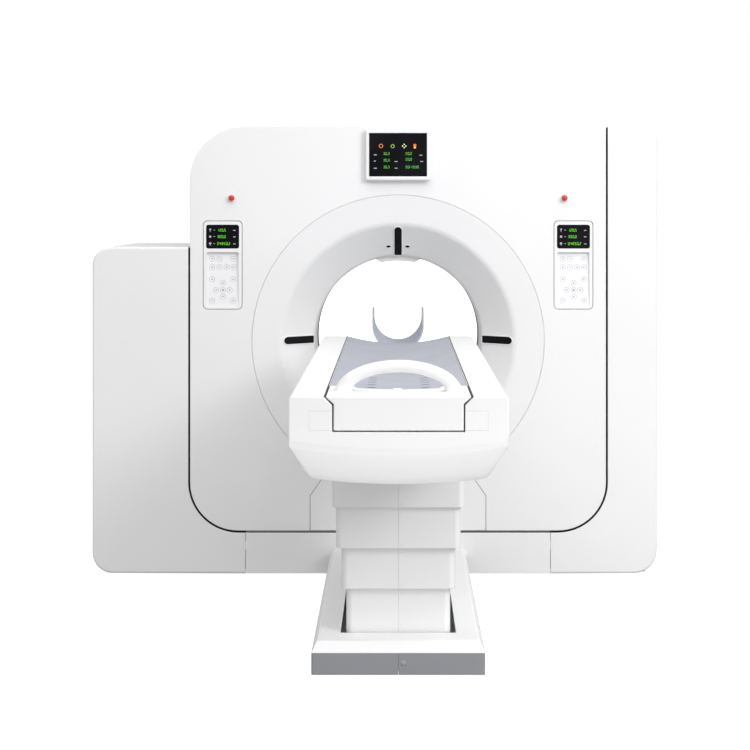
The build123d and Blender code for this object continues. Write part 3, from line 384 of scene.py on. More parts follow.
def upright(outline, y):
    """A ring of points from an outline of X and Z."""
    return [(x, y, z) for x, z in outline]


def disc_outline(x, z, radius, count=20, start=0.0):
    return [(x + radius * cos(a), z + radius * sin(a)) for a in around(count, start)]


def bar_outline(x, z, width, height):
    left, right = x - width / 2, x + width / 2
    low, high = z - height / 2, z + height / 2
    return [(left, low), (right, low), (right, high), (left, high)]


def round_boss(x, z, back, profile, count):
    """Rings of a turned form that faces the foot of the table; its profile gives radius and rise."""
    return [upright(disc_outline(x, z, r, count), back - rise) for r, rise in profile]


def rounded_corner(before, corner, after, radius, steps):
    """Points of a fillet, limited to the lengths beside its corner."""
    before, corner, after = Vector(before), Vector(corner), Vector(after)
    back, ahead = before - corner, after - corner
    room = min(back.length, ahead.length) * 0.5
    if room < 1e-7:
        return [corner.copy() for _ in range(steps + 1)]
    back.normalize()
    ahead.normalize()
    half = acos(max(-1, min(1, back.dot(ahead)))) / 2
    if half > pi / 2 - 1e-3:
        return [corner.copy() for _ in range(steps + 1)]
    reach = min(radius / tan(half), room)
    radius = reach * tan(half)
    centre = corner + (back + ahead).normalized() * (radius / sin(half))
    start = corner + back * reach - centre
    end = corner + ahead * reach - centre
    turn = pi - 2 * half
    points = []
    for i in range(steps + 1):
        share = i / steps
        points.append(centre + (start * sin((1 - share) * turn) + end * sin(share * turn)) / sin(turn))
    return points


def rounded_outline(corners, radius, steps):
    """A closed outline with a fillet at each corner."""
    count = len(corners)
    points = []
    for i in range(count):
        points += rounded_corner(corners[i - 1], corners[i], corners[(i + 1) % count], radius, steps)
    return points


def rounded_rectangle(width, height, radius, steps, x, z):
    return rounded_outline(bar_outline(x, z, width, height), radius, steps)


def plate(size, radius, x, z, back, face, edge):
    """Rings of a rounded plate that faces the foot of the table, with a soft front edge."""
    rings = []
    for y, inset in [(back, 0.0)] + [(face + behind, inset) for behind, inset in soft_edge(edge, 2)]:
        width, height = size[0] - 2 * inset, size[1] - 2 * inset
        rings.append(upright(rounded_rectangle(width, height, max(radius - inset, 0.0005), 6, x, z), y))
    return rings


def cad_copy(node):
    """A CAD node's mesh, merged, with its flat faces whole again."""
    shape = bmesh.new()
    shape.from_mesh(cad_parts[node].data)
    bmesh.ops.remove_doubles(shape, verts=shape.verts, dist=1e-6)
    bmesh.ops.dissolve_limit(shape, angle_limit=radians(0.6), verts=shape.verts, edges=shape.edges,
                             use_dissolve_boundaries=False)
    return shape


def soften(shape, radius_at):
    """Round the sharp edges by the radius that a rule gives for each edge, smallest radius first."""
    done = 0
    while True:
        sharp = {}
        for edge in shape.edges:
            if len(edge.link_faces) == 2 and edge.calc_face_angle() > radians(sharp_degrees):
                radius = radius_at(*[vert.co for vert in edge.verts])
                if radius > done:
                    sharp.setdefault(radius, []).append(edge)
        if not sharp:
            return shape
        done = min(sharp)
        bmesh.ops.bevel(shape, geom=sharp[done], offset=done, offset_type="OFFSET", segments=3,
                        profile=0.5, affect="EDGES", clamp_overlap=False)


def dressed(node, body, finish, radius_at):
    """A CAD node with rounded edges, in place of the node itself."""
    return finished(node, soften(cad_copy(node), radius_at), finish, body, sharp_degrees)


def same(a, b):
    return abs(a - b) < 2e-4


def both(a, b, value):
    return same(a, value) and same(b, value)


# Bell of the bore
seam_radius = 0.607
lap_inner, lap_outer = 0.593, 0.623
slope_start = 0.608
lip_radius = 0.500
bore_radius = 0.350
throat = 0.070
lip_slope = radians(5)
cone_lean = radians(38)
throat_arc = 0.030
lip_y = front + (slope_start - lip_radius) * tan(lip_slope)
bell_end = front + 0.131


def lip_arc_radius():
    """The radius of the lip's arc, such that a straight cone joins it to the throat's arc."""
    run_in = lip_radius - bore_radius - throat_arc * (1 - sin(cone_lean))
    run_back = bell_end - lip_y - throat_arc * cos(cone_lean)
    return (run_in * sin(cone_lean) - run_back * cos(cone_lean)) / (1 - cos(cone_lean - lip_slope))


lip_arc = lip_arc_radius()
lip_centre = Vector((lip_radius + lip_arc * sin(lip_slope), lip_y + lip_arc * cos(lip_slope)))
throat_centre = Vector((bore_radius + throat_arc, bell_end))


def on_arc(centre, arc, lean):
    """Radius and Y of the point where an arc of the bell leans by an angle."""
    return Vector((centre.x - arc * sin(lean), centre.y - arc * cos(lean)))


cone_mouth = on_arc(lip_centre, lip_arc, cone_lean)
cone_foot = on_arc(throat_centre, throat_arc, cone_lean)


def bell_at(radius):
    """Lean and Y of the bell's surface at a distance from the bore's axis."""
    if radius >= lip_radius:
        return lip_slope, lip_y - (radius - lip_radius) * tan(lip_slope)
    if radius > cone_mouth.x:
        lean = asin((lip_centre.x - radius) / lip_arc)
        return lean, on_arc(lip_centre, lip_arc, lean).y
    if radius > cone_foot.x:
        return cone_lean, cone_mouth.y + (cone_mouth.x - radius) * tan(cone_lean)
    lean = asin(min(1, (throat_centre.x - radius) / throat_arc))
    return lean, on_arc(throat_centre, throat_arc, lean).y


def on_bell(x, z, lift):
    """The point of the bell that is seen at X and Z from the front, lifted off its surface."""
    radius = hypot(x, z - iso)
    lean, y = bell_at(radius)
    out = 1 - sin(lean) * lift / radius
    return Vector((x * out, y - cos(lean) * lift, iso + (z - iso) * out))


def bell_profile(depth, lip_steps, throat_steps):
    """Points down the bell at a depth below its surface: rim, lip, cone, throat and neck."""
    faces = [(lean, on_arc(lip_centre, lip_arc, lean)) for lean in spread(lip_slope, cone_lean, lip_steps)]
    faces += [(cone_lean, cone_mouth.lerp(cone_foot, i / 6)) for i in range(1, 6)]
    throat_leans = spread(cone_lean, pi / 2, throat_steps)
    faces += [(lean, on_arc(throat_centre, throat_arc, lean)) for lean in throat_leans]
    points = [point + Vector((sin(lean), cos(lean))) * depth for lean, point in faces]
    rise = (seam_radius - points[0].x) * tan(lip_slope)
    neck = [Vector((bore_radius + depth, y)) for y in (-0.2, -0.13, -throat)]
    return [Vector((seam_radius, points[0].y - rise))] + points + neck


def turned(profile):
    """A closed profile of radius and Y, turned about the bore's axis."""
    return solid([[(r * sin(a), y, iso + r * cos(a)) for r, y in profile] for a in around(192)], closed=True)


def front_bell():
    """A thin shell down the bell's profile, with a lap behind the front cover."""
    wall = 0.005
    face = bell_profile(0, 16, 12)
    back = bell_profile(wall, 8, 6)
    rim = face[0]
    lap = [(lap_inner, front + 2 * wall), (lap_outer, front + 2 * wall), (lap_outer, front + wall),
           (seam_radius, front + wall)]
    profile = [(rim.x - 0.002, rim.y + 0.0002)] + [tuple(p) for p in face[1:]]
    profile += [tuple(p) for p in reversed(back[1:])] + lap
    profile += [(rim.x, rim.y + 0.002)]
    finished("front_bell", turned(profile), bell_white, "gantry")


front_bell()


# Column sleeves
column_front, column_rear = [corner.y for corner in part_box("fixed_tier")]


def sleeve_outline(half, grow, inset):
    """One sleeve from above, with a fine groove where its halves meet; its inner side has none."""
    corner = 0.022
    outside = inset < 0.003
    low, high = column_front - grow + inset, column_rear + grow - inset
    wide = half - inset
    corners = [(-wide, low), (wide, low), (wide, high), (-wide, high)]
    points = rounded_outline(corners, max(corner - inset, 0.002), 8)
    groove = [(-0.0011, 0.0), (-0.0006, 0.0016), (0.0006, 0.0016), (0.0011, 0.0)]
    low_groove = [Vector((x, low + d * outside)) for x, d in groove]
    high_groove = [Vector((-x, high - d * outside)) for x, d in groove]
    return points[:9] + low_groove + points[9:27] + high_groove + points[27:]


def sleeve(node, body, half, grow, lip):
    """A tube with a soft foot, its lip turned in towards the next sleeve."""
    low, high = [corner.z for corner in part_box(node)]
    wall, edge, lip_top = 0.004, 0.0025, low + 0.010
    profile = [(0.0, high), (wall, high), (wall, lip_top), (lip, lip_top), (lip, low), (edge, low)]
    profile += [(inset, low + rise) for inset, rise in soft_edge(edge, 3)[1:]]
    rings = [[(x, y, z) for x, y in sleeve_outline(half, grow, inset)] for inset, z in profile]
    finished(node, solid(rings, closed=True), tier_white, body)


sleeve_bodies = {"tier_1": "couch", "tier_2": "tier_2", "tier_3": "tier_3", "fixed_tier": "stand"}


def column():
    widths = [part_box(node)[1].x for node in sleeve_bodies]
    for i, (node, body) in enumerate(sleeve_bodies.items()):
        lip = widths[i] - widths[i + 1] - 0.0003 if i < 3 else 0.004
        sleeve(node, body, widths[i], widths[i] - widths[3], lip)


column()


# Couch
couch_half = couch_high.x
couch_foot, couch_head = couch_low.y, couch_high.y
cap_step, cap_edge = 0.1788, 0.2028
step_drop, floor_drop = 0.021, 0.094
cradle_gap = 0.004
side_drop, nose_drop = 0.134, 0.158
keel_half, keel_side_drop, keel_drop = 0.254, 0.248, 0.265
nose_radius = 0.022
nose_setback = 0.125
head_drop, head_taper = 0.150, 0.300
nose_fall = keel_drop - nose_drop
nose_turn = atan2(nose_setback, nose_fall)


def bow(x, half, side, middle):
    """Height of a shallow arc that passes through its two sides and its middle."""
    rise = side - middle
    radius = (half * half + rise * rise) / (2 * rise)
    return middle + radius - (max(radius * radius - x * x, 0)) ** 0.5


def eased(a, b, width):
    """The larger of two heights, with a soft change between them."""
    near = max(width - abs(a - b), 0) / width
    return max(a, b) + near * near * width / 4


def underside(x, y, inset):
    """Height of the couch's underside: the bowed keel, the slanted nose and the taper at the head."""
    keel = bow(x, keel_half, deck - keel_side_drop, deck - keel_drop) + inset
    back = y - (couch_foot + inset)
    if back < nose_radius * (1 - cos(nose_turn)):
        lean = acos(max(-1, min(1, 1 - back / nose_radius)))
        fall = nose_radius * (tan(nose_turn / 2) - sin(lean))
    else:
        fall = -back / tan(nose_turn)
    nose = bow(x, couch_half, deck - side_drop, deck - nose_drop) + inset + fall
    slope = (keel_drop - head_drop) / head_taper
    head = deck - keel_drop + slope * (y - (couch_head - head_taper)) + inset * hypot(1, slope)
    return eased(eased(keel, nose, 0.03), head, 0.02)


def couch_ring(y, inset, mouth=None):
    """The couch across its length at a station, with the channel for the cradle.

    The inset draws everything in; where a mouth is given, the channel widens by that instead.
    """
    half, top = couch_half - inset, deck - inset
    grow = cradle_gap + (inset if mouth is None else mouth)
    edge, body = cap_edge + grow, cap_step + grow
    step, floor = deck - step_drop - grow, deck - floor_drop - grow
    blend = 0.09
    lean = (couch_half - keel_half) / (keel_side_drop - side_drop)
    crease = deck - side_drop
    x_low, z_low = half, underside(half, y, inset)
    for _ in range(12):
        z_low = underside(x_low, y, inset)
        x_low = half - max(crease - z_low, 0) * lean
    side = (half, max(crease, z_low))
    low = (x_low, z_low)
    if side[1] - z_low < 1e-6:
        side = (half, z_low)
    inward = (x_low - blend, underside(x_low - blend, y, inset))
    points = [(0, floor), (body, floor), (body, step)]
    points += rounded_corner((body, step), (edge, top), (half, top), 0.0015, 2)
    points += rounded_corner((edge, top), (half, top), side, 0.012, 5)
    room = min(1, hypot(half - x_low, side[1] - z_low) / blend)
    points += rounded_corner((half, top), side, low, 0.004 + 0.026 * room, 5)
    last = rounded_corner(side if side != low else (half, top), low, inward, 0.004 + 0.032 * room, 9)
    points += last
    for i in range(1, 12):
        x = last[-1].x * (1 - i / 12)
        points.append((x, underside(x, y, inset)))
    points.append((0, underside(0, y, inset)))
    points = [tuple(p) for p in points]
    return upright(points + [(-x, z) for x, z in reversed(points[1:-1])], y)


def couch_stations(inset):
    """Where the couch's rings stand: close together at the nose and at the start of the taper."""
    start, end = couch_foot + inset, couch_head - inset
    near = [start + nose_radius * (1 - cos(a)) for a in spread(0, nose_turn, 6)[1:]]
    nose = [start + 0.016 + i * (nose_setback + 0.05) / 16 for i in range(1, 17)]
    taper = couch_head - head_taper
    head = [taper - 0.06 + i * 0.12 / 6 for i in range(7)]
    return near + nose + [-2.4, -2.0, -1.5, -1.1] + head


def couch_rings():
    """All of the couch's outer rings, drawn in at both ends so that these are rounded off."""
    edge, mouth_edge = 0.0035, 0.002
    turns = spread(0, pi / 2, 4)
    ends = [(edge * (1 - sin(a)), edge * (1 - cos(a)), mouth_edge * (1 - cos(a))) for a in turns]
    foot = [couch_ring(couch_foot + back, inset, mouth) for back, inset, mouth in reversed(ends)]
    head = [couch_ring(couch_head - back, inset, mouth) for back, inset, mouth in ends]
    middle = [couch_ring(y, 0.0) for y in couch_stations(0.0) if couch_foot + edge < y < couch_head - edge]
    return foot + middle + head


def block(x, y, z):
    return solid([[(x[0], y[0], h), (x[1], y[0], h), (x[1], y[1], h), (x[0], y[1], h)] for h in z])


def merged(parts):
    """One mesh from several, whether these are plain already or still being made."""
    whole = bmesh.new()
    for part in parts:
        mesh = plain_mesh("part", part) if isinstance(part, bmesh.types.BMesh) else part
        whole.from_mesh(mesh)
        bpy.data.meshes.remove(mesh)
    return whole


def loose(name, shape):
    """An object that is no piece of the part: the floor, or a mesh that helps to cut another."""
    made = bpy.data.objects.new(name, plain_mesh(name, shape))
    bpy.context.collection.objects.link(made)
    return made


def cut(shape, cutters):
    """The mesh that is left when the cutters are taken away."""
    body = loose("blank", shape)
    tools = [loose("cutter", tool) for tool in cutters]
    for tool in tools:
        step = body.modifiers.new("cut", "BOOLEAN")
        step.operation = "DIFFERENCE"
        step.solver = "EXACT"
        step.object = tool
    bpy.context.view_layer.update()
    whole = body.evaluated_get(bpy.context.evaluated_depsgraph_get())
    mesh = bpy.data.meshes.new_from_object(whole)
    for made in [body] + tools:
        bpy.data.objects.remove(made)
    return mesh


def couch():
    """The hollow shell, with an opening below for the lift mast and two in the channel for the rollers."""
    wall = 0.006
    stations = [couch_foot + wall] + couch_stations(wall) + [couch_head - wall]
    hollow = solid([couch_ring(y, wall) for y in stations])
    lift_port = block((-0.09, 0.09), (-1.69, -1.10), (0.6, 0.80))
    wells = [block((-0.148, 0.148), (y - 0.0425, y + 0.0425), (0.83, 0.95)) for y in (-0.930, -0.690)]
    shell = cut(solid(couch_rings()), [hollow, lift_port] + wells)
    finished("couch_shell", shell, cover_white, "couch", smooth=28)


couch()


# Cradle
cap_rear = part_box("cradle_mat")[0].y
dish_half = 0.2026


def cradle_outline(inset):
    """The cradle from the foot: a wide deck edge, slanted under, over a narrower body."""
    body, edge = cap_step - inset, cap_edge - 2.663 * inset
    low, step, top = deck - floor_drop + inset, deck - step_drop + 0.455 * inset, deck - inset
    points = [(-body, low), (body, low), (body, step), (edge, top), (-edge, top), (-body, step)]
    return rounded_outline(points, 0.002, 3)


def cradle_end():
    """The foot end of the cradle, with a soft front edge."""
    stations = [(0.0, 0.0035), (0.0004, 0.0019), (0.0016, 0.0006), (0.0035, 0.0)]
    rings = [upright(cradle_outline(inset), couch_foot + back) for back, inset in stations]
    return solid(rings + [upright(cradle_outline(0.0), cap_rear)])


def handle():
    """An arched bar of rounded section that grows out of the deck."""
    y_middle = -2.686
    rings = []
    for a in spread(0, pi, 48):
        outer = Vector((-0.180 * cos(a), 0.093 * sin(a)))
        inner = Vector((-0.134 * cos(a), 0.057 * sin(a) + 0.002))
        middle, across = (outer + inner) / 2, (outer - inner) / 2
        foot = max(0, 1 - sin(a) / 0.35) ** 2
        thick, widen = 0.030 + 0.012 * foot, 1 + 0.25 * foot
        ring = []
        for b in around(16):
            u, v = cos(b), sin(b)
            square = (abs(u) ** 3.2 + abs(v) ** 3.2) ** (-1 / 3.2)
            p = middle + across * (u * square * widen)
            ring.append((p.x, y_middle + v * square * thick, deck - 0.006 + p.y))
        rings.append(ring)
    return solid(rings)


def mat_dish(y):
    """How deep the mat's hollow is at a station: full at the head, shallow at the foot."""
    shallow, full, run = 0.010, 0.029, 0.75
    share = max(0, min(1, (y - cap_rear) / run))
    return shallow + (full - shallow) * share * share * (3 - 2 * share)


def mat_top(x, y):
    """Height of the mat's face."""
    dish = mat_dish(y)
    radius = (dish_half * dish_half + dish * dish) / (2 * dish)
    return deck - dish + radius - (radius * radius - x * x) ** 0.5


def cap_hollow():
    """The room over a shallow hollow in the cap's deck, which carries on from the mat's."""
    half, brim = 0.118, 0.134
    roof, side = deck + 0.02, deck + 0.0002
    rings = []
    for y, share in [(-2.708, 0.02), (-2.704, 0.4), (-2.698, 0.75), (-2.690, 1.0), (cap_rear + 0.002, 1.0)]:
        floor = [(x, deck + (mat_top(x, cap_rear) - 0.0006 - deck) * share) for x in spread(-half, half, 12)]
        rings.append(upright([(-brim, roof), (-brim, side)] + floor + [(brim, side), (brim, roof)], y))
    return solid(rings)


def cap():
    """The cradle's foot end, hollowed, with its handle and a latch."""
    end = cut(cradle_end(), [cap_hollow()])
    latch = block((-0.0145, 0.0090), (cap_rear - 0.012, cap_rear + 0.004), (deck - 0.013, deck - 0.0075))
    finished("cradle_cap", merged([handle(), latch, end]), cover_white, "cradle")


cap()


def pair_of_bars(section, start, end):
    """Two bars along Y, one on each side of the middle, from a section of X and Z."""
    groups = []
    for side in (-1, 1):
        groups.append([upright([(side * x, z) for x, z in section], y) for y in (start, end)])
    return solid(*groups)


def cradle_rims():
    """The white rims of the board beside the mat."""
    section = [(0.2011, deck - 0.0085), (0.2011, deck - 0.0007), (0.2016, deck - 0.0002),
               (dish_half, deck - 0.0002), (0.2018, deck - 0.0085)]
    piece("cradle_rims", pair_of_bars(section, cap_rear, couch_head), cover_white, "cradle")


def channel_shade_strips():
    """Dark lips of the couch's channel, which close the gap beside the cradle; their dark colour is painted
    shade of the gap.
    """
    high, low = 0.0004, 0.0030
    section = [(0.2072 - 0.96 * high, deck - high), (0.2034 - 1.143 * high, deck - high),
               (0.2034 - 1.143 * low, deck - low), (0.2072 - 0.96 * low, deck - low)]
    lips = pair_of_bars(section, couch_foot + 0.002, couch_head - 0.002)
    piece("channel_shade_strips", lips, gap_shade_dark, "couch", 30)


cradle_rims()
channel_shade_strips()


# Repeats made with Geometry Nodes
class Tree:
    """A Geometry Nodes tree under construction, with named inputs for its sizes."""

    def __init__(self, name, sizes):
        self.tree = bpy.data.node_groups.new(name, "GeometryNodeTree")
        face = self.tree.interface
        face.new_socket("Geometry", in_out="INPUT", socket_type="NodeSocketGeometry")
        for size, value in sizes.items():
            face.new_socket(size, in_out="INPUT", socket_type="NodeSocketFloat").default_value = value
        face.new_socket("Finish", in_out="INPUT", socket_type="NodeSocketMaterial")
        face.new_socket("Geometry", in_out="OUTPUT", socket_type="NodeSocketGeometry")
        self.start = self.tree.nodes.new("NodeGroupInput").outputs
        self.end = self.tree.nodes.new("NodeGroupOutput").inputs["Geometry"]

    def node(self, kind, links=None, **settings):
        made = self.tree.nodes.new(kind)
        for key, value in settings.items():
            setattr(made, key, value)
        for socket, source in (links or {}).items():
            if isinstance(source, bpy.types.NodeSocket):
                self.tree.links.new(source, made.inputs[socket])
            else:
                made.inputs[socket].default_value = source
        return made

    def product(self, a, b):
        return self.node("ShaderNodeMath", {0: a, 1: b}, operation="MULTIPLY").outputs[0]

    def vector(self, **parts):
        return self.node("ShaderNodeCombineXYZ", parts).outputs["Vector"]

    def cylinder(self, sides, radius, depth):
        sizes = {"Vertices": sides, "Radius": radius, "Depth": depth}
        return self.node("GeometryNodeMeshCylinder", sizes).outputs["Mesh"]

    def circle(self, sides, radius):
        sizes = {"Resolution": sides, "Radius": radius}
        return self.node("GeometryNodeCurvePrimitiveCircle", sizes).outputs["Curve"]

    def placed(self, geometry, **changes):
        return self.node("GeometryNodeTransform", {"Geometry": geometry, **changes}).outputs["Geometry"]

    def swept(self, path, section):
        """A line along a path, closed where the path has ends."""
        links = {"Curve": path, "Profile Curve": section, "Fill Caps": True}
        return self.node("GeometryNodeCurveToMesh", links).outputs["Mesh"]

    def finish(self, geometry):
        """Every tree ends in real geometry with its material set."""
        real = self.node("GeometryNodeRealizeInstances", {"Geometry": geometry}).outputs["Geometry"]
        links = {"Geometry": real, "Material": self.start["Finish"]}
        coloured = self.node("GeometryNodeSetMaterial", links).outputs["Geometry"]
        self.tree.links.new(coloured, self.end)
        return self.tree

    def on_points(self, shape):
        """Copies of a shape, its top towards the foot of the table, on the input's vertices.

        Each copy is turned about Y by the attribute turn.
        """
        facing = self.placed(shape, Rotation=(pi / 2, 0, 0))
        turn = self.node("GeometryNodeInputNamedAttribute", {"Name": "turn"}, data_type="FLOAT")
        euler = self.node("FunctionNodeEulerToRotation", {"Euler": self.vector(Y=turn.outputs[0])})
        points = self.node("GeometryNodeMeshToPoints", {"Mesh": self.start["Geometry"]})
        copies = self.node("GeometryNodeInstanceOnPoints", {
            "Points": points.outputs["Points"], "Instance": facing, "Rotation": euler.outputs["Rotation"]})
        return self.finish(copies.outputs["Instances"])


def screw_head_tree():
    """Round heads with a six-sided socket."""
    tree = Tree("screw_heads", {"Head Radius": 0.004, "Head Height": 0.0012, "Socket Share": 0.55})
    radius, height = tree.start["Head Radius"], tree.start["Head Height"]
    disc = tree.cylinder(24, radius, height)
    hole = tree.cylinder(6, tree.product(radius, tree.start["Socket Share"]), tree.product(height, 2.0))
    sunk = {"Mesh 1": disc, "Mesh 2": tree.placed(hole, Translation=tree.vector(Z=height))}
    head = tree.node("GeometryNodeMeshBoolean", sunk, operation="DIFFERENCE")
    return tree.on_points(head.outputs["Mesh"])


def key_ring_tree():
    tree = Tree("key_rings", {"Ring Radius": 0.0115, "Line Radius": 0.0006})
    ring = tree.swept(tree.circle(40, tree.start["Ring Radius"]), tree.circle(6, tree.start["Line Radius"]))
    return tree.on_points(ring)


def lit_bar_tree():
    """Hexagonal bars, the strokes of the digits."""
    tree = Tree("lit_bars", {"Length": 0.004, "Width": 0.001, "Depth": 0.0004})
    bar = tree.cylinder(6, 0.5, tree.start["Depth"])
    size = tree.vector(X=tree.start["Length"], Y=tree.start["Width"], Z=1.0)
    return tree.on_points(tree.placed(bar, Scale=size))


def bead_tree():
    """A fine round bead that follows the input's edges."""
    tree = Tree("beads", {"Bead Radius": 0.002})
    path = tree.node("GeometryNodeMeshToCurve", {"Mesh": tree.start["Geometry"]}).outputs["Curve"]
    return tree.finish(tree.swept(path, tree.circle(8, tree.start["Bead Radius"])))


screw_heads = screw_head_tree()
key_rings = key_ring_tree()
lit_bars = lit_bar_tree()
beads = bead_tree()


def run_tree(name, tree, sizes, finish, mesh, body):
    """Run a tree on a mesh of points or edges, and keep its result as a plain mesh."""
    source = bpy.data.objects.new("source", mesh)
    bpy.context.collection.objects.link(source)
    run = source.modifiers.new("run", "NODES")
    run.node_group = tree
    values = {**sizes, "Finish": finish}
    for item in tree.interface.items_tree:
        if item.in_out == "INPUT" and item.name in values:
            run[item.identifier] = values[item.name]
    bpy.context.view_layer.update()
    whole = source.evaluated_get(bpy.context.evaluated_depsgraph_get())
    result = bpy.data.meshes.new_from_object(whole)
    bpy.data.objects.remove(source)
    piece(name, result, finish, body, weighted=False)


def repeated(name, tree, sizes, finish, points, body, turns=None):
    """A tree's shape at each point, turned by its own angle where one is given."""
    mesh = bpy.data.meshes.new(name)
    mesh.from_pydata(points, [], [])
    layer = mesh.attributes.new("turn", "FLOAT", "POINT")
    for i, value in enumerate(turns or [0.0] * len(points)):
        layer.data[i].value = value
    run_tree(name, tree, sizes, finish, mesh, body)


def bead_lines(name, radius, finish, paths, body, loops=False):
    """Round beads along paths, or round loops of points."""
    points, edges = [], []
    for path in paths:
        first = len(points)
        points += path
        edges += [(first + i, first + i + 1) for i in range(len(path) - 1)]
        if loops:
            edges.append((first + len(path) - 1, first))
    mesh = bpy.data.meshes.new(name)
    mesh.from_pydata(points, edges, [])
    run_tree(name, beads, {"Bead Radius": radius}, finish, mesh, body)


# Windows and ports of the bell
window_inner, window_outer, window_half = 0.356, 0.474, 0.015
window_rim = 0.0026
port_x, port_rise = 0.040, 0.392


def window_rows(grow):
    """Rows across a window, from its square inner end to its round outer end: place and half width."""
    inner, outer, half = window_inner - grow, window_outer + grow, window_half + grow
    rows = [(inner + along, half - across) for across, along in soft_edge(0.004 + grow, 4)]
    rows += [(along, half) for along in spread(inner, outer - half, 20)[2:]]
    rows += [(outer - half + half * sin(a), half * cos(a)) for a in spread(0, pi / 2, 10)[1:-1]]
    return rows


def at_angle(along, across, angle, lift):
    """A point of the bell, along and across a direction from the bore's axis."""
    x = along * cos(angle) - across * sin(angle)
    z = iso + along * sin(angle) + across * cos(angle)
    return on_bell(x, z, lift)


def window(angle):
    """A dark pane that follows the bell, with its sides turned down into it."""
    columns, proud, sunk = 8, 0.0012, -0.003
    shape = bmesh.new()
    grid = []
    for along, half in window_rows(0.0):
        places = [at_angle(along, half * (2 * j / columns - 1), angle, proud) for j in range(columns + 1)]
        grid.append([shape.verts.new(place) for place in places])
    for low, high in zip(grid, grid[1:]):
        for j in range(columns):
            shape.faces.new((low[j], low[j + 1], high[j + 1], high[j]))
    rim = [e for e in shape.edges if len(e.link_faces) == 1]
    sides = bmesh.ops.extrude_edge_only(shape, edges=rim)["geom"]
    for vert in [g for g in sides if isinstance(g, bmesh.types.BMVert)]:
        vert.co = on_bell(vert.co.x, vert.co.z, sunk)
    tidy_mesh(shape)
    return shape


def port_ring(side, half_width, half_height, lift, count):
    """An oval round the middle of a port, laid on the bell."""
    x, z = side * port_x, iso + port_rise
    return [on_bell(x + half_width * cos(a), z + half_height * sin(a), lift) for a in around(count)]


def port(side):
    """A small oval lens cap on the bell."""
    stages = ((1.0, -0.003), (1.0, 0.0006), (0.9, 0.0013), (0.6, 0.0017), (0.25, 0.0019))
    return solid([port_ring(side, 0.009 * share, 0.0045 * share, lift, 32) for share, lift in stages])


def bore_windows():
    """Three panes and two ports, each with a fine white rim."""
    angles = (0, pi / 2, pi)
    panes = [window(angle) for angle in angles]
    finished("bore_windows", merged(panes + [port(-1), port(1)]), window_black, "gantry")
    rows = window_rows(window_rim)
    outline = rows + [(along, -half) for along, half in reversed(rows)]
    rims = [[at_angle(along, across, angle, 0.0) for along, across in outline] for angle in angles]
    bead_lines("window_rims", window_rim, cover_white, rims, "gantry", loops=True)
    ovals = [port_ring(side, 0.0108, 0.0062, 0.0, 40) for side in (-1, 1)]
    bead_lines("port_rims", 0.0016, cover_white, ovals, "gantry", loops=True)


bore_windows()


# Throat of the bore
def bore_throat():
    """The ring with the scan window, near black with painted shade of the bore's inner wall, and, behind it,
    the rear bell.
    """
    inside, outside, end = 0.3515, 0.355, throat - 0.0005
    wall = [(inside, -end), (inside, end), (outside, end), (outside, -end)]
    finished("bore_liner", turned(wall), liner_grey, "gantry")
    mouth = [(bore_radius, throat), (0.366, 0.330), (0.3695, 0.348), (0.3765, 0.364), (0.392, 0.376),
             (0.418, 0.386), (0.450, 0.394), (0.480, 0.400), (0.480, 0.395), (0.440, 0.388), (0.400, 0.377),
             (0.371, 0.330), (outside, throat)]
    finished("rear_bell", turned(mouth), bell_white, "gantry")


bore_throat()


def bore_pad():
    """The curved pad in the top of the throat, with slanted sides and soft edges."""
    outer, thick, half, count = bore_radius - 0.0003, 0.020, 0.095, 24
    start, end = bell_end + 0.006, -throat - 0.006
    edge, slant = 0.005, thick / bore_radius
    stations = [(start, edge), (start + 0.0015, 0.0015), (start + edge, 0.0), (end - edge, 0.0),
                (end - 0.0015, 0.0015), (end, edge)]
    rings = []
    for y, inset in stations:
        wide = half / bore_radius - inset / bore_radius
        middle, shoulder = outer - thick * 0.5, outer - thick * 0.86 + inset
        inner = spread(wide - slant * 1.15, slant * 1.15 - wide, count)
        points = [(a, outer) for a in spread(-wide, wide, count)]
        points += [(wide - slant * 0.5, middle), (wide - slant * 0.93, shoulder)]
        points += [(a, bore_radius - thick + inset) for a in inner]
        points += [(slant * 0.93 - wide, shoulder), (slant * 0.5 - wide, middle)]
        rings.append([(r * sin(a), y, iso + r * cos(a)) for a, r in points])
    finished("bore_light_cover", solid(rings), bell_white, "gantry", smooth=35)


bore_pad()


# Covers
def front_cover_radius(a, b):
    """Soft edges on the front, finer round the bore."""
    if not both(a.y, b.y, front):
        return 0
    near_bore = hypot((a.x + b.x) / 2, (a.z + b.z) / 2 - iso) < seam_radius + 0.004
    return 0.0012 if near_bore else 0.002


def gantry_rear_radius(a, b):
    return 0.004 if both(a.y, b.y, rear) else 0


def cabinet_radius(a, b):
    """Wide soft edges round the outside, fine ones beside the gantry and at the seams."""
    if not both(a.y, b.y, front):
        return 0
    near, far = sorted((abs(a.x), abs(b.x)))
    inside = far < gantry_half + 0.0082 or (near < gantry_half and min(a.z, b.z) > gantry_foot - 0.012)
    foot = max(a.z, b.z) < 0.006 and far < 0.9
    return 0.0016 if inside or foot else 0.011


def surround_panel_radius(a, b):
    """Fine edges on the plinth's face, wide ones on the outside of the rear panels."""
    if both(a.y, b.y, front):
        return 0.0016
    outside = min(abs(a.x), abs(b.x)) > gantry_half + 0.009
    return 0.009 if outside and both(a.y, b.y, rear) else 0


def wrap_radius(a, b):
    """Fine edges where the wrap-round covers meet each other and the front and rear covers."""
    return 0.0012 if same(a.y, b.y) or same(a.z, b.z) else 0


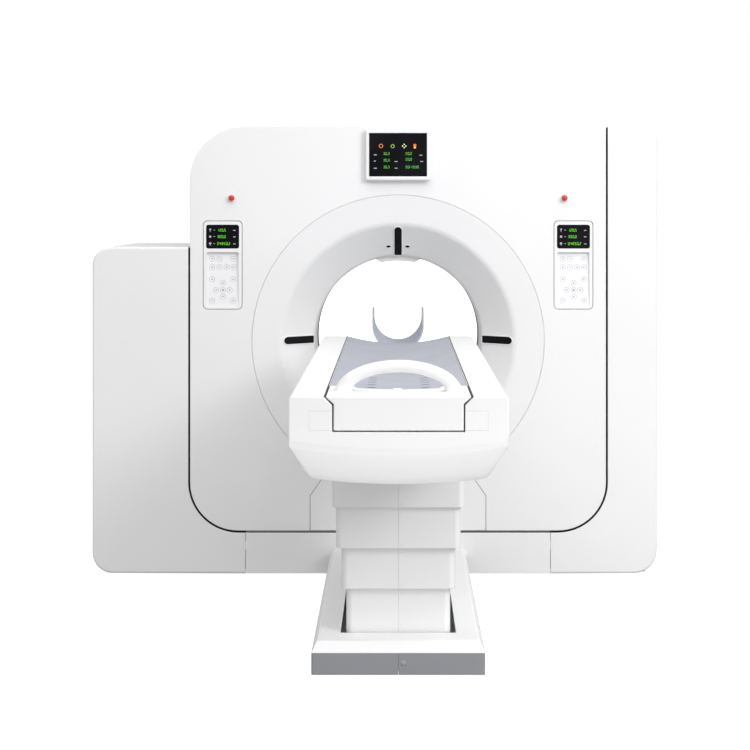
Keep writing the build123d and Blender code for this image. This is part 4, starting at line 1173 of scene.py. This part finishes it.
def skirt_radius(a, b):
    """Soft edges along the top and the outer foot, fine ones round the column, none on the rear face."""
    low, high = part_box("base_cover")
    if both(a.y, b.y, high.y):
        return 0
    far = max(abs(a.x), abs(b.x))
    if both(a.z, b.z, high.z):
        return 0.0012 if far < 0.2 and min(a.y, b.y) > -1.86 else 0.004
    outside = far > 0.2835 or min(a.y, b.y) < -1.9595
    return 0.002 if both(a.z, b.z, low.z) and outside else 0


def band_radius(a, b):
    """Rounded front corners and a soft foot."""
    low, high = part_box("plinth_band")
    if abs(a.z - b.z) > 0.01 and same(a.y, low.y) and same(abs(a.x), high.x):
        return 0.008
    outside = both(a.y, b.y, low.y) or both(abs(a.x), abs(b.x), high.x)
    return 0.003 if both(a.z, b.z, low.z) and outside else 0


def covers():
    """Every cover that keeps its CAD form, with the rule for its edges."""
    for node, body, finish, radius_at in (
            ("front_cover", "gantry", cover_white, front_cover_radius),
            ("lower_front_panel", "gantry", cover_white, front_cover_radius),
            ("rear_cover", "gantry", cover_white, gantry_rear_radius),
            ("left_cabinet_cover", "stand", cover_white, cabinet_radius),
            ("right_pillar_cover", "stand", cover_white, cabinet_radius),
            ("surround_panels", "stand", cover_white, surround_panel_radius),
            ("wrap_covers", "gantry", cover_white, wrap_radius),
            ("base_cover", "stand", cover_white, skirt_radius),
            ("plinth_band", "stand", plinth_grey, band_radius)):
        dressed(node, body, finish, radius_at)


covers()


# Dark strips of painted shade in the gaps round the gantry
def gap_shade_strips():
    """Thin dark strips on the surround's inner faces, which the gaps show: painted shade of the gaps."""
    outer_x, plinth = gantry_half + 0.008, gantry_foot - 0.009
    near, far, plinth_far = front + 0.003, front + 0.100, front + 0.0135
    thick, corner_radius = 0.0007, 0.209
    left_top, right_top = 1.361, 1.862
    groups = []
    for side, top in ((-1, left_top), (1, right_top)):
        x = side * outer_x
        corner = rounded_corner((x, 0.9), (x, plinth), (0, plinth), corner_radius, 24)
        path = [Vector((x, top - 0.004))] + corner + [Vector((side * 0.634, plinth))]
        rings = []
        for i, point in enumerate(path):
            before, after = path[max(i - 1, 0)], path[min(i + 1, len(path) - 1)]
            along = (after - before).normalized()
            inward = Vector((-along.y, along.x)) * -side
            if inward.dot(Vector((0, iso)) - point) < 0:
                inward = -inward
            inner = point + inward * thick
            rings.append([(point.x, near, point.y), (inner.x, near, inner.y),
                          (inner.x, far, inner.y), (point.x, far, point.y)])
        groups.append(rings)
    above = plinth + thick
    groups.append([[(x, near, plinth), (x, near, above), (x, plinth_far, above), (x, plinth_far, plinth)]
                   for x in (-0.631, 0.631)])
    piece("gap_shade_strips", solid(*groups), gap_shade_dark, "stand", 30)


def panel_shade_beads():
    """Dark beads of painted shade in the two sloped joints of the service panel."""
    half, top_half, face = 0.3654, 0.288, front + 0.0010
    foot, shoulder, top = gantry_foot + 0.001, gantry_foot + 0.145, gantry_foot + 0.255
    paths = []
    for side in (-1, 1):
        last = (side * (top_half + 0.003), face, top - 0.003)
        paths.append([(side * half, face, foot), (side * half, face, shoulder), last])
    bead_lines("panel_shade_beads", 0.0011, gap_shade_dark, paths, "gantry")


gap_shade_strips()
panel_shade_beads()


# Top display and the places of the control panels
screen_z = 1.744
screen_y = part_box("display_housing")[0].y
panel_x, panel_z = 0.729, 1.286
small_screen_z = 1.4045


def display_housing():
    """A white bezel with soft corners that stands off the cover, and a step for its screen."""
    width, height, corner = 0.270, 0.214, 0.010
    step_width, step_height, step_corner = 0.240, 0.180, 0.001
    stages = [(front, 0.003), (front - 0.006, 0.003), (front - 0.008, 0.0)]
    stages += [(screen_y + behind, inset) for behind, inset in soft_edge(0.007, 4)]
    rings = []
    for y, inset in stages:
        outline = rounded_rectangle(width - 2 * inset, height - 2 * inset, corner, 6, 0, screen_z)
        rings.append(upright(outline, y))
    for y, grow in ((screen_y, 0.0006), (screen_y + 0.0006, 0.0), (screen_y + 0.004, 0.0)):
        size = step_width + 2 * grow, step_height + 2 * grow
        outline = rounded_rectangle(*size, step_corner, 6, 0, screen_z)
        rings.append(upright(outline, y))
    finished("display_housing", solid(rings), cover_white, "gantry")


display_housing()

# The strokes of each digit, and the place of each stroke: across, up, and 1 where it stands on end
segment_digits = {
    "0": "abcdef", "1": "bc", "2": "abged", "3": "abgcd", "4": "fgbc", "5": "afgcd", "6": "afgedc",
    "7": "abc", "8": "abcdefg", "9": "abcdfg",
}
segment_place = {
    "a": (0.5, 1.0, 0), "b": (1.0, 0.75, 1), "c": (1.0, 0.25, 1), "d": (0.5, 0.0, 0), "e": (0.0, 0.25, 1),
    "f": (0.0, 0.75, 1), "g": (0.5, 0.5, 0),
}


def digit_strokes(text, x, z, height):
    """Where each stroke of a row of digits lies, and how it turns."""
    wide = height * 0.52
    strokes = []
    for mark in text:
        if mark in ".:":
            rises = (0.0,) if mark == "." else (0.25, 0.75)
            strokes += [(x - 0.15 * height, z + rise * height, 0.0) for rise in rises]
            x += 0.18 * height
            continue
        for name in segment_digits[mark]:
            across, up, on_end = segment_place[name]
            strokes.append((x + across * wide, z + up * height, pi / 2 * on_end))
        x += wide + 0.38 * height
    return strokes


def numbers(name, rows, height, y, finish):
    """Rows of plain numbers as lit strokes on a screen."""
    strokes = [stroke for text, x, z in rows for stroke in digit_strokes(text, x, z, height)]
    points = [(x, y, z) for x, z, turn in strokes]
    turns = [turn for x, z, turn in strokes]
    sizes = {"Length": height * 0.46, "Width": height * 0.15, "Depth": 0.0003}
    repeated(name, lit_bars, sizes, finish, points, "gantry", turns)


lit_green = lamp("lit_green", (0.09, 0.42, 0.05), 1.1)
lit_bright = lamp("lit_bright", (0.11, 0.6, 0.03), 1.2)
lit_orange = lamp("lit_orange", (0.55, 0.15, 0.03), 0.8)
lit_lime = lamp("lit_lime", (0.25, 0.36, 0.07), 0.8)
lit_pale = lamp("lit_pale", (0.6, 0.65, 0.32), 0.8)
lit_amber = lamp("lit_amber", (0.9, 0.42, 0.05), 1.2)
lit_red = lamp("lit_red", (0.85, 0.1, 0.01), 1.2)
lit_grey = lamp("lit_grey", (0.35, 0.36, 0.38), 0.5)


def flat_marks(name, outlines, y, depth, finish):
    """Small flat shapes that stand a hair proud of a screen."""
    groups = [[upright(outline, level) for level in (y, y - depth)] for outline in outlines]
    piece(name, solid(*groups), finish, "gantry", weighted=False)


def screens():
    """The glass of the display and of the two control panels."""
    groups = [plate((0.2398, 0.1798), 0.0008, 0, screen_z, screen_y + 0.004, screen_y + 0.001, 0.0004)]
    small, back, face = (0.1368, 0.0988), front + 0.004, front + 0.001
    for side in (-1, 1):
        groups.append(plate(small, 0.0098, side * panel_x, small_screen_z, back, face, 0.0008))
    finished("display_screens", solid(*groups), screen_black, "gantry")


def display_picture():
    """Four status marks in a row, and under them two columns of plain numbers with their labels."""
    y = screen_y + 0.001 - 0.0002
    repeated("status_ring", key_rings, {"Ring Radius": 0.0073, "Line Radius": 0.0016}, lit_orange,
             [(-0.0705, y, 1.7804)], "gantry")
    dots = disc_outline(-0.0221, 1.7795, 0.0067, 7, pi / 2)
    flat_marks("status_dots", [disc_outline(x, z, 0.0022, 12) for x, z in dots], y, 0.0003, lit_lime)
    cross = disc_outline(0.0255, 1.7800, 0.0067, 4)
    flat_marks("status_cross", [disc_outline(x, z, 0.0027, 12) for x, z in cross], y, 0.0003, lit_pale)
    flat_marks("status_lamp", [disc_outline(0.0695, 1.7830, 0.0062)], y, 0.0003, lit_red)
    flat_marks("status_lamp_foot", [bar_outline(0.0695, 1.7740, 0.0082, 0.0060)], y, 0.0003, lit_amber)
    left, right = -0.0604, 0.0324
    rows = [("30.3", left, 1.7438), ("30.3", left, 1.7163), ("30.3", left, 1.6883),
            ("00.0", right, 1.7438), ("00.0", right, 1.7200), ("00:15:30", right, 1.6883)]
    numbers("display_numbers", rows, 0.0098, y, lit_green)
    labels = ((-0.094, 1.7435, 0.012, 0.0035), (-0.096, 1.7180, 0.008, 0.0035),
              (-0.094, 1.6880, 0.013, 0.0035), (-0.008, 1.7160, 0.012, 0.003),
              (-0.008, 1.6885, 0.012, 0.003), (0.095, 1.7420, 0.012, 0.003), (0.098, 1.7160, 0.012, 0.003))
    flat_marks("display_labels", [bar_outline(*label) for label in labels], y, 0.0002, lit_grey)


screens()
display_picture()


# Control panels
membrane_foot, membrane_top = 1.112, 1.340
membrane_thickness = 0.0012


def membrane_at(z):
    """Where the face of the sloped membrane lies at a height."""
    shallow, slant = 0.004, 0.010
    share = (z - membrane_foot) / (membrane_top - membrane_foot)
    return front + shallow + slant * share - membrane_thickness


def control_panel(side):
    """A panel's body, with a sloped recess for the membrane and a recess for the screen."""
    x = side * panel_x
    width, height, corner = 0.160, 0.365, 0.017
    rings = []
    for y, inset in [(front + 0.024, 0.0), (front + 0.003, 0.0), (front + 0.0012, 0.0005), (front, 0.002)]:
        outline = rounded_rectangle(width - 2 * inset, height - 2 * inset, corner - inset, 8, x, panel_z)
        rings.append(upright(outline, y))
    middle = (membrane_foot + membrane_top) / 2
    outline = rounded_rectangle(0.133, membrane_top - membrane_foot, 0.006, 5, x, middle)
    wedge = solid([upright(outline, front - 0.01), [(px, membrane_at(pz), pz) for px, pz in outline]])
    outline = rounded_rectangle(0.1374, 0.0994, 0.010, 8, x, small_screen_z)
    glass = solid([upright(outline, y) for y in (front - 0.01, front + 0.004)])
    return cut(solid(rings), [wedge, glass])


def control_panels():
    finished("control_panels", merged([control_panel(side) for side in (-1, 1)]), panel_grey, "gantry")


control_panels()


# Keys and screens of the control panels
key_print = painted("key_print", (0.30, 0.31, 0.33), 0.5, 0.0)
key_rows = (
    (0.026, "<-x", (-0.044, -0.014, 0.044)),
    (-0.009, "<-+>", (-0.044, -0.014, 0.016, 0.044)),
    (-0.059, "<>", (-0.044, 0.044)),
    (-0.074, "^", (0.001,)),
    (-0.104, "<o>", (-0.028, 0.001, 0.029)),
    (-0.131, "v", (0.001,)),
    (-0.148, "-+", (-0.044, 0.044)),
)
arrow_turns = {"<": pi, ">": 0.0, "^": pi / 2, "v": -pi / 2}


def arrow(x, z, size, turn):
    """A filled triangle that points along an angle."""
    return [(x + size * cos(turn + a), z + size * sin(turn + a)) for a in (0, 2.3, -2.3)]


def key_outlines(mark, x, z):
    """The print on one key: an arrow, a disc, or a bar with or without two short ones across it."""
    if mark in arrow_turns:
        return [arrow(x, z, 0.0046, arrow_turns[mark])]
    if mark == "o":
        return [disc_outline(x, z, 0.0042, 16)]
    bars = [bar_outline(x, z, 0.0085, 0.0018)]
    if mark in "+x":
        bars += [bar_outline(x, z + lift, 0.0018, 0.0032) for lift in (-0.0026, 0.0026)]
    return bars


def keypads():
    """Round keys with plain marks, printed on the sloped membranes."""
    rings, prints = [], []
    for side in (-1, 1):
        for rise, marks, columns in key_rows:
            for mark, across in zip(marks, columns):
                x, z = side * panel_x + across, panel_z + rise
                rings.append((x, membrane_at(z) - 0.0002, z))
                prints += key_outlines(mark, x, z)
    sizes = {"Ring Radius": 0.0110, "Line Radius": 0.0005}
    repeated("key_rings", key_rings, sizes, key_print, rings, "gantry")
    groups = []
    for outline in prints:
        groups.append([[(x, membrane_at(z) - lift, z) for x, z in outline] for lift in (0.0, 0.0003)])
    piece("key_marks", solid(*groups), key_print, "gantry", weighted=False)


def control_screens():
    """Three rows of plain numbers on each control screen, with a mark before and after."""
    y = front + 0.0008
    rows, marks = [], []
    for side in (-1, 1):
        x = side * panel_x
        for text, z in (("120.5", 1.4266), ("300.0", 1.3997), ("04850.2", 1.3704)):
            rows.append((text, x - 0.0215, z))
            marks.append(bar_outline(x - 0.0345, z + 0.005, 0.0065, 0.0020))
            marks.append(bar_outline(x + 0.049, z + 0.004, 0.010, 0.003))
        first = x - 0.0515
        marks += [arrow(first, 1.4330, 0.0062, -pi / 2), bar_outline(first, 1.4270, 0.0022, 0.0060),
                  disc_outline(first, small_screen_z, 0.0048), disc_outline(first, 1.3762, 0.0060, 4),
                  bar_outline(first, 1.3695, 0.0022, 0.0050)]
    numbers("control_numbers", rows, 0.0100, y, lit_bright)
    flat_marks("control_marks", marks, y, 0.0002, lit_grey)


keypads()
control_screens()


# Stop buttons
def collar_radius(a, b):
    return 0.001 if both(a.y, b.y, front - 0.004) else 0


def stop_buttons():
    """Domed red heads on square stems, and their collars."""
    stop_x, stop_z = 0.691, 1.565
    dressed("stop_housings", "gantry", panel_grey, collar_radius)
    back = front - 0.0083
    profile = [(0.0, 0.0), (0.0112, 0.0), (0.0123, 0.0008), (0.0125, 0.0022), (0.0123, 0.0045),
               (0.0116, 0.0072), (0.0100, 0.0094), (0.0075, 0.0108), (0.0042, 0.0117), (0.0, 0.0120)]
    for side, node in ((-1, "left_stop_button"), (1, "right_stop_button")):
        x = side * stop_x
        head = solid(round_boss(x, stop_z, back, profile, 40))
        stem = block((x - 0.005, x + 0.005), (back - 0.001, front + 0.024), (stop_z - 0.005, stop_z + 0.005))
        finished(node, merged([head, stem]), stop_red, node)


stop_buttons()


# Screws, lock and fine lines
screw_heights = {"tier_1": (0.5485,), "tier_2": (0.5186, 0.4116), "tier_3": (0.3819, 0.2745),
                 "fixed_tier": (0.2442, 0.1400)}


def small_fittings():
    """Cover screws beside the column's seam, the lock of the kick band and the couch's inset outlines."""
    screw_x, sunk = 0.0095, 0.0004
    sizes = {"Head Radius": 0.0028, "Head Height": 0.0012}
    for node, body in sleeve_bodies.items():
        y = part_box(node)[0].y + sunk
        points = [(screw_x, y, z) for z in screw_heights[node]]
        repeated(body + "_screws", screw_heads, sizes, aluminium, points, body)
    profile = [(0.0088, 0.0), (0.0088, 0.0008), (0.0082, 0.0016), (0.0062, 0.0020), (0.0056, 0.0014),
               (0.0046, 0.0014), (0.0040, 0.0024), (0.0, 0.0026)]
    lock_x, lock_z, lock_y = 0.0166, 0.0445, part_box("plinth_band")[0].y
    lock = solid(round_boss(lock_x, lock_z, lock_y, profile, 32))
    piece("band_lock", lock, steel, "stand", smooth=35)
    low, high, face = 0.9140, 0.9673, couch_foot + 0.0006
    paths = []
    for side in (-1, 1):
        inner, outer = side * 0.1845, side * 0.2460
        paths.append([(inner, face, low), (outer, face, low), (outer, face, high), (inner, face, high)])
    bead_lines("couch_inset_lines", 0.0008, inset_grey, paths, "couch")


small_fittings()


# Head holder
def head_holder():
    """The thin trough with soft rims, and its firm foam lining."""
    dressed("head_holder", "cradle", cover_white, lambda a, b: 0.0012)
    lining = dressed("head_pad", "cradle", pad_grey, lambda a, b: 0.0015)


head_holder()


# Mat
def mat_ring(y, inset):
    """The mat across its length: hollow top, rounded sides, and a back that follows the top."""
    mat_half, thick = 0.2009, 0.0078
    half = mat_half - inset
    shoulder, side = deck - 0.0012, deck - 0.0040
    top = [Vector((x, mat_top(x, y))) for x in spread(-half, half, 24)]
    base = [Vector((p.x * 0.985, p.y - thick)) for p in top]
    ring = [Vector((-half, side)), Vector((-half + 0.0012, shoulder))] + top[1:-1]
    ring += [Vector((half - 0.0012, shoulder)), Vector((half, side))]
    ring += list(reversed(base))
    return [(x, y, z - inset * 0.4) for x, z in ring]


def mat():
    """The padded mat, and dark patches of painted shade where the slots of its straps lie."""
    start, end = cap_rear, couch_head
    stations = [(start, 0.003), (start + 0.001, 0.0012), (start + 0.004, 0.0)]
    stations += [(start + 0.05 + i * (end - start - 0.1) / 30, 0.0) for i in range(31)]
    stations += [(end - 0.004, 0.0), (end - 0.001, 0.0012), (end, 0.003)]
    shape = solid([mat_ring(y, inset) for y, inset in stations])
    made = finished("cradle_mat", shape, mat_blue, "cradle", smooth=50)
    # The strap slots are flat dark patches of painted shade, not holes
    slot_x, slot_width, slot_length, slot_corner = 0.0795, 0.025, 0.014, 0.005
    groups = []
    for side in (-1, 1):
        for y in (-2.144, -2.239, -2.331, -2.423, -2.514):
            outline = rounded_rectangle(slot_width, slot_length, slot_corner, 4, side * slot_x, y)
            groups.append([[(x, v, mat_top(x, v) + lift) for x, v in outline] for lift in (-0.002, 0.0003)])
    piece("strap_slots", solid(*groups), slot_shade_dark, "cradle", 30)


mat()


# Floor
floor_finish = Finish("floor_pale", (0.9, 0.9, 0.9), 0.6)
floor_finish.tinted(floor_finish.noise(0.8, 3), (0.9, 0.9, 0.9), (0.93, 0.93, 0.93))
floor_finish.shader.inputs["Emission Color"].default_value = (1, 1, 1, 1)
floor_finish.shader.inputs["Emission Strength"].default_value = 0.9
ground = bmesh.new()
bmesh.ops.create_grid(ground, x_segments=1, y_segments=1, size=60)
floor = loose("floor", ground)
floor.data.materials.append(floor_finish.material)
floor.visible_diffuse = False
floor.visible_glossy = False
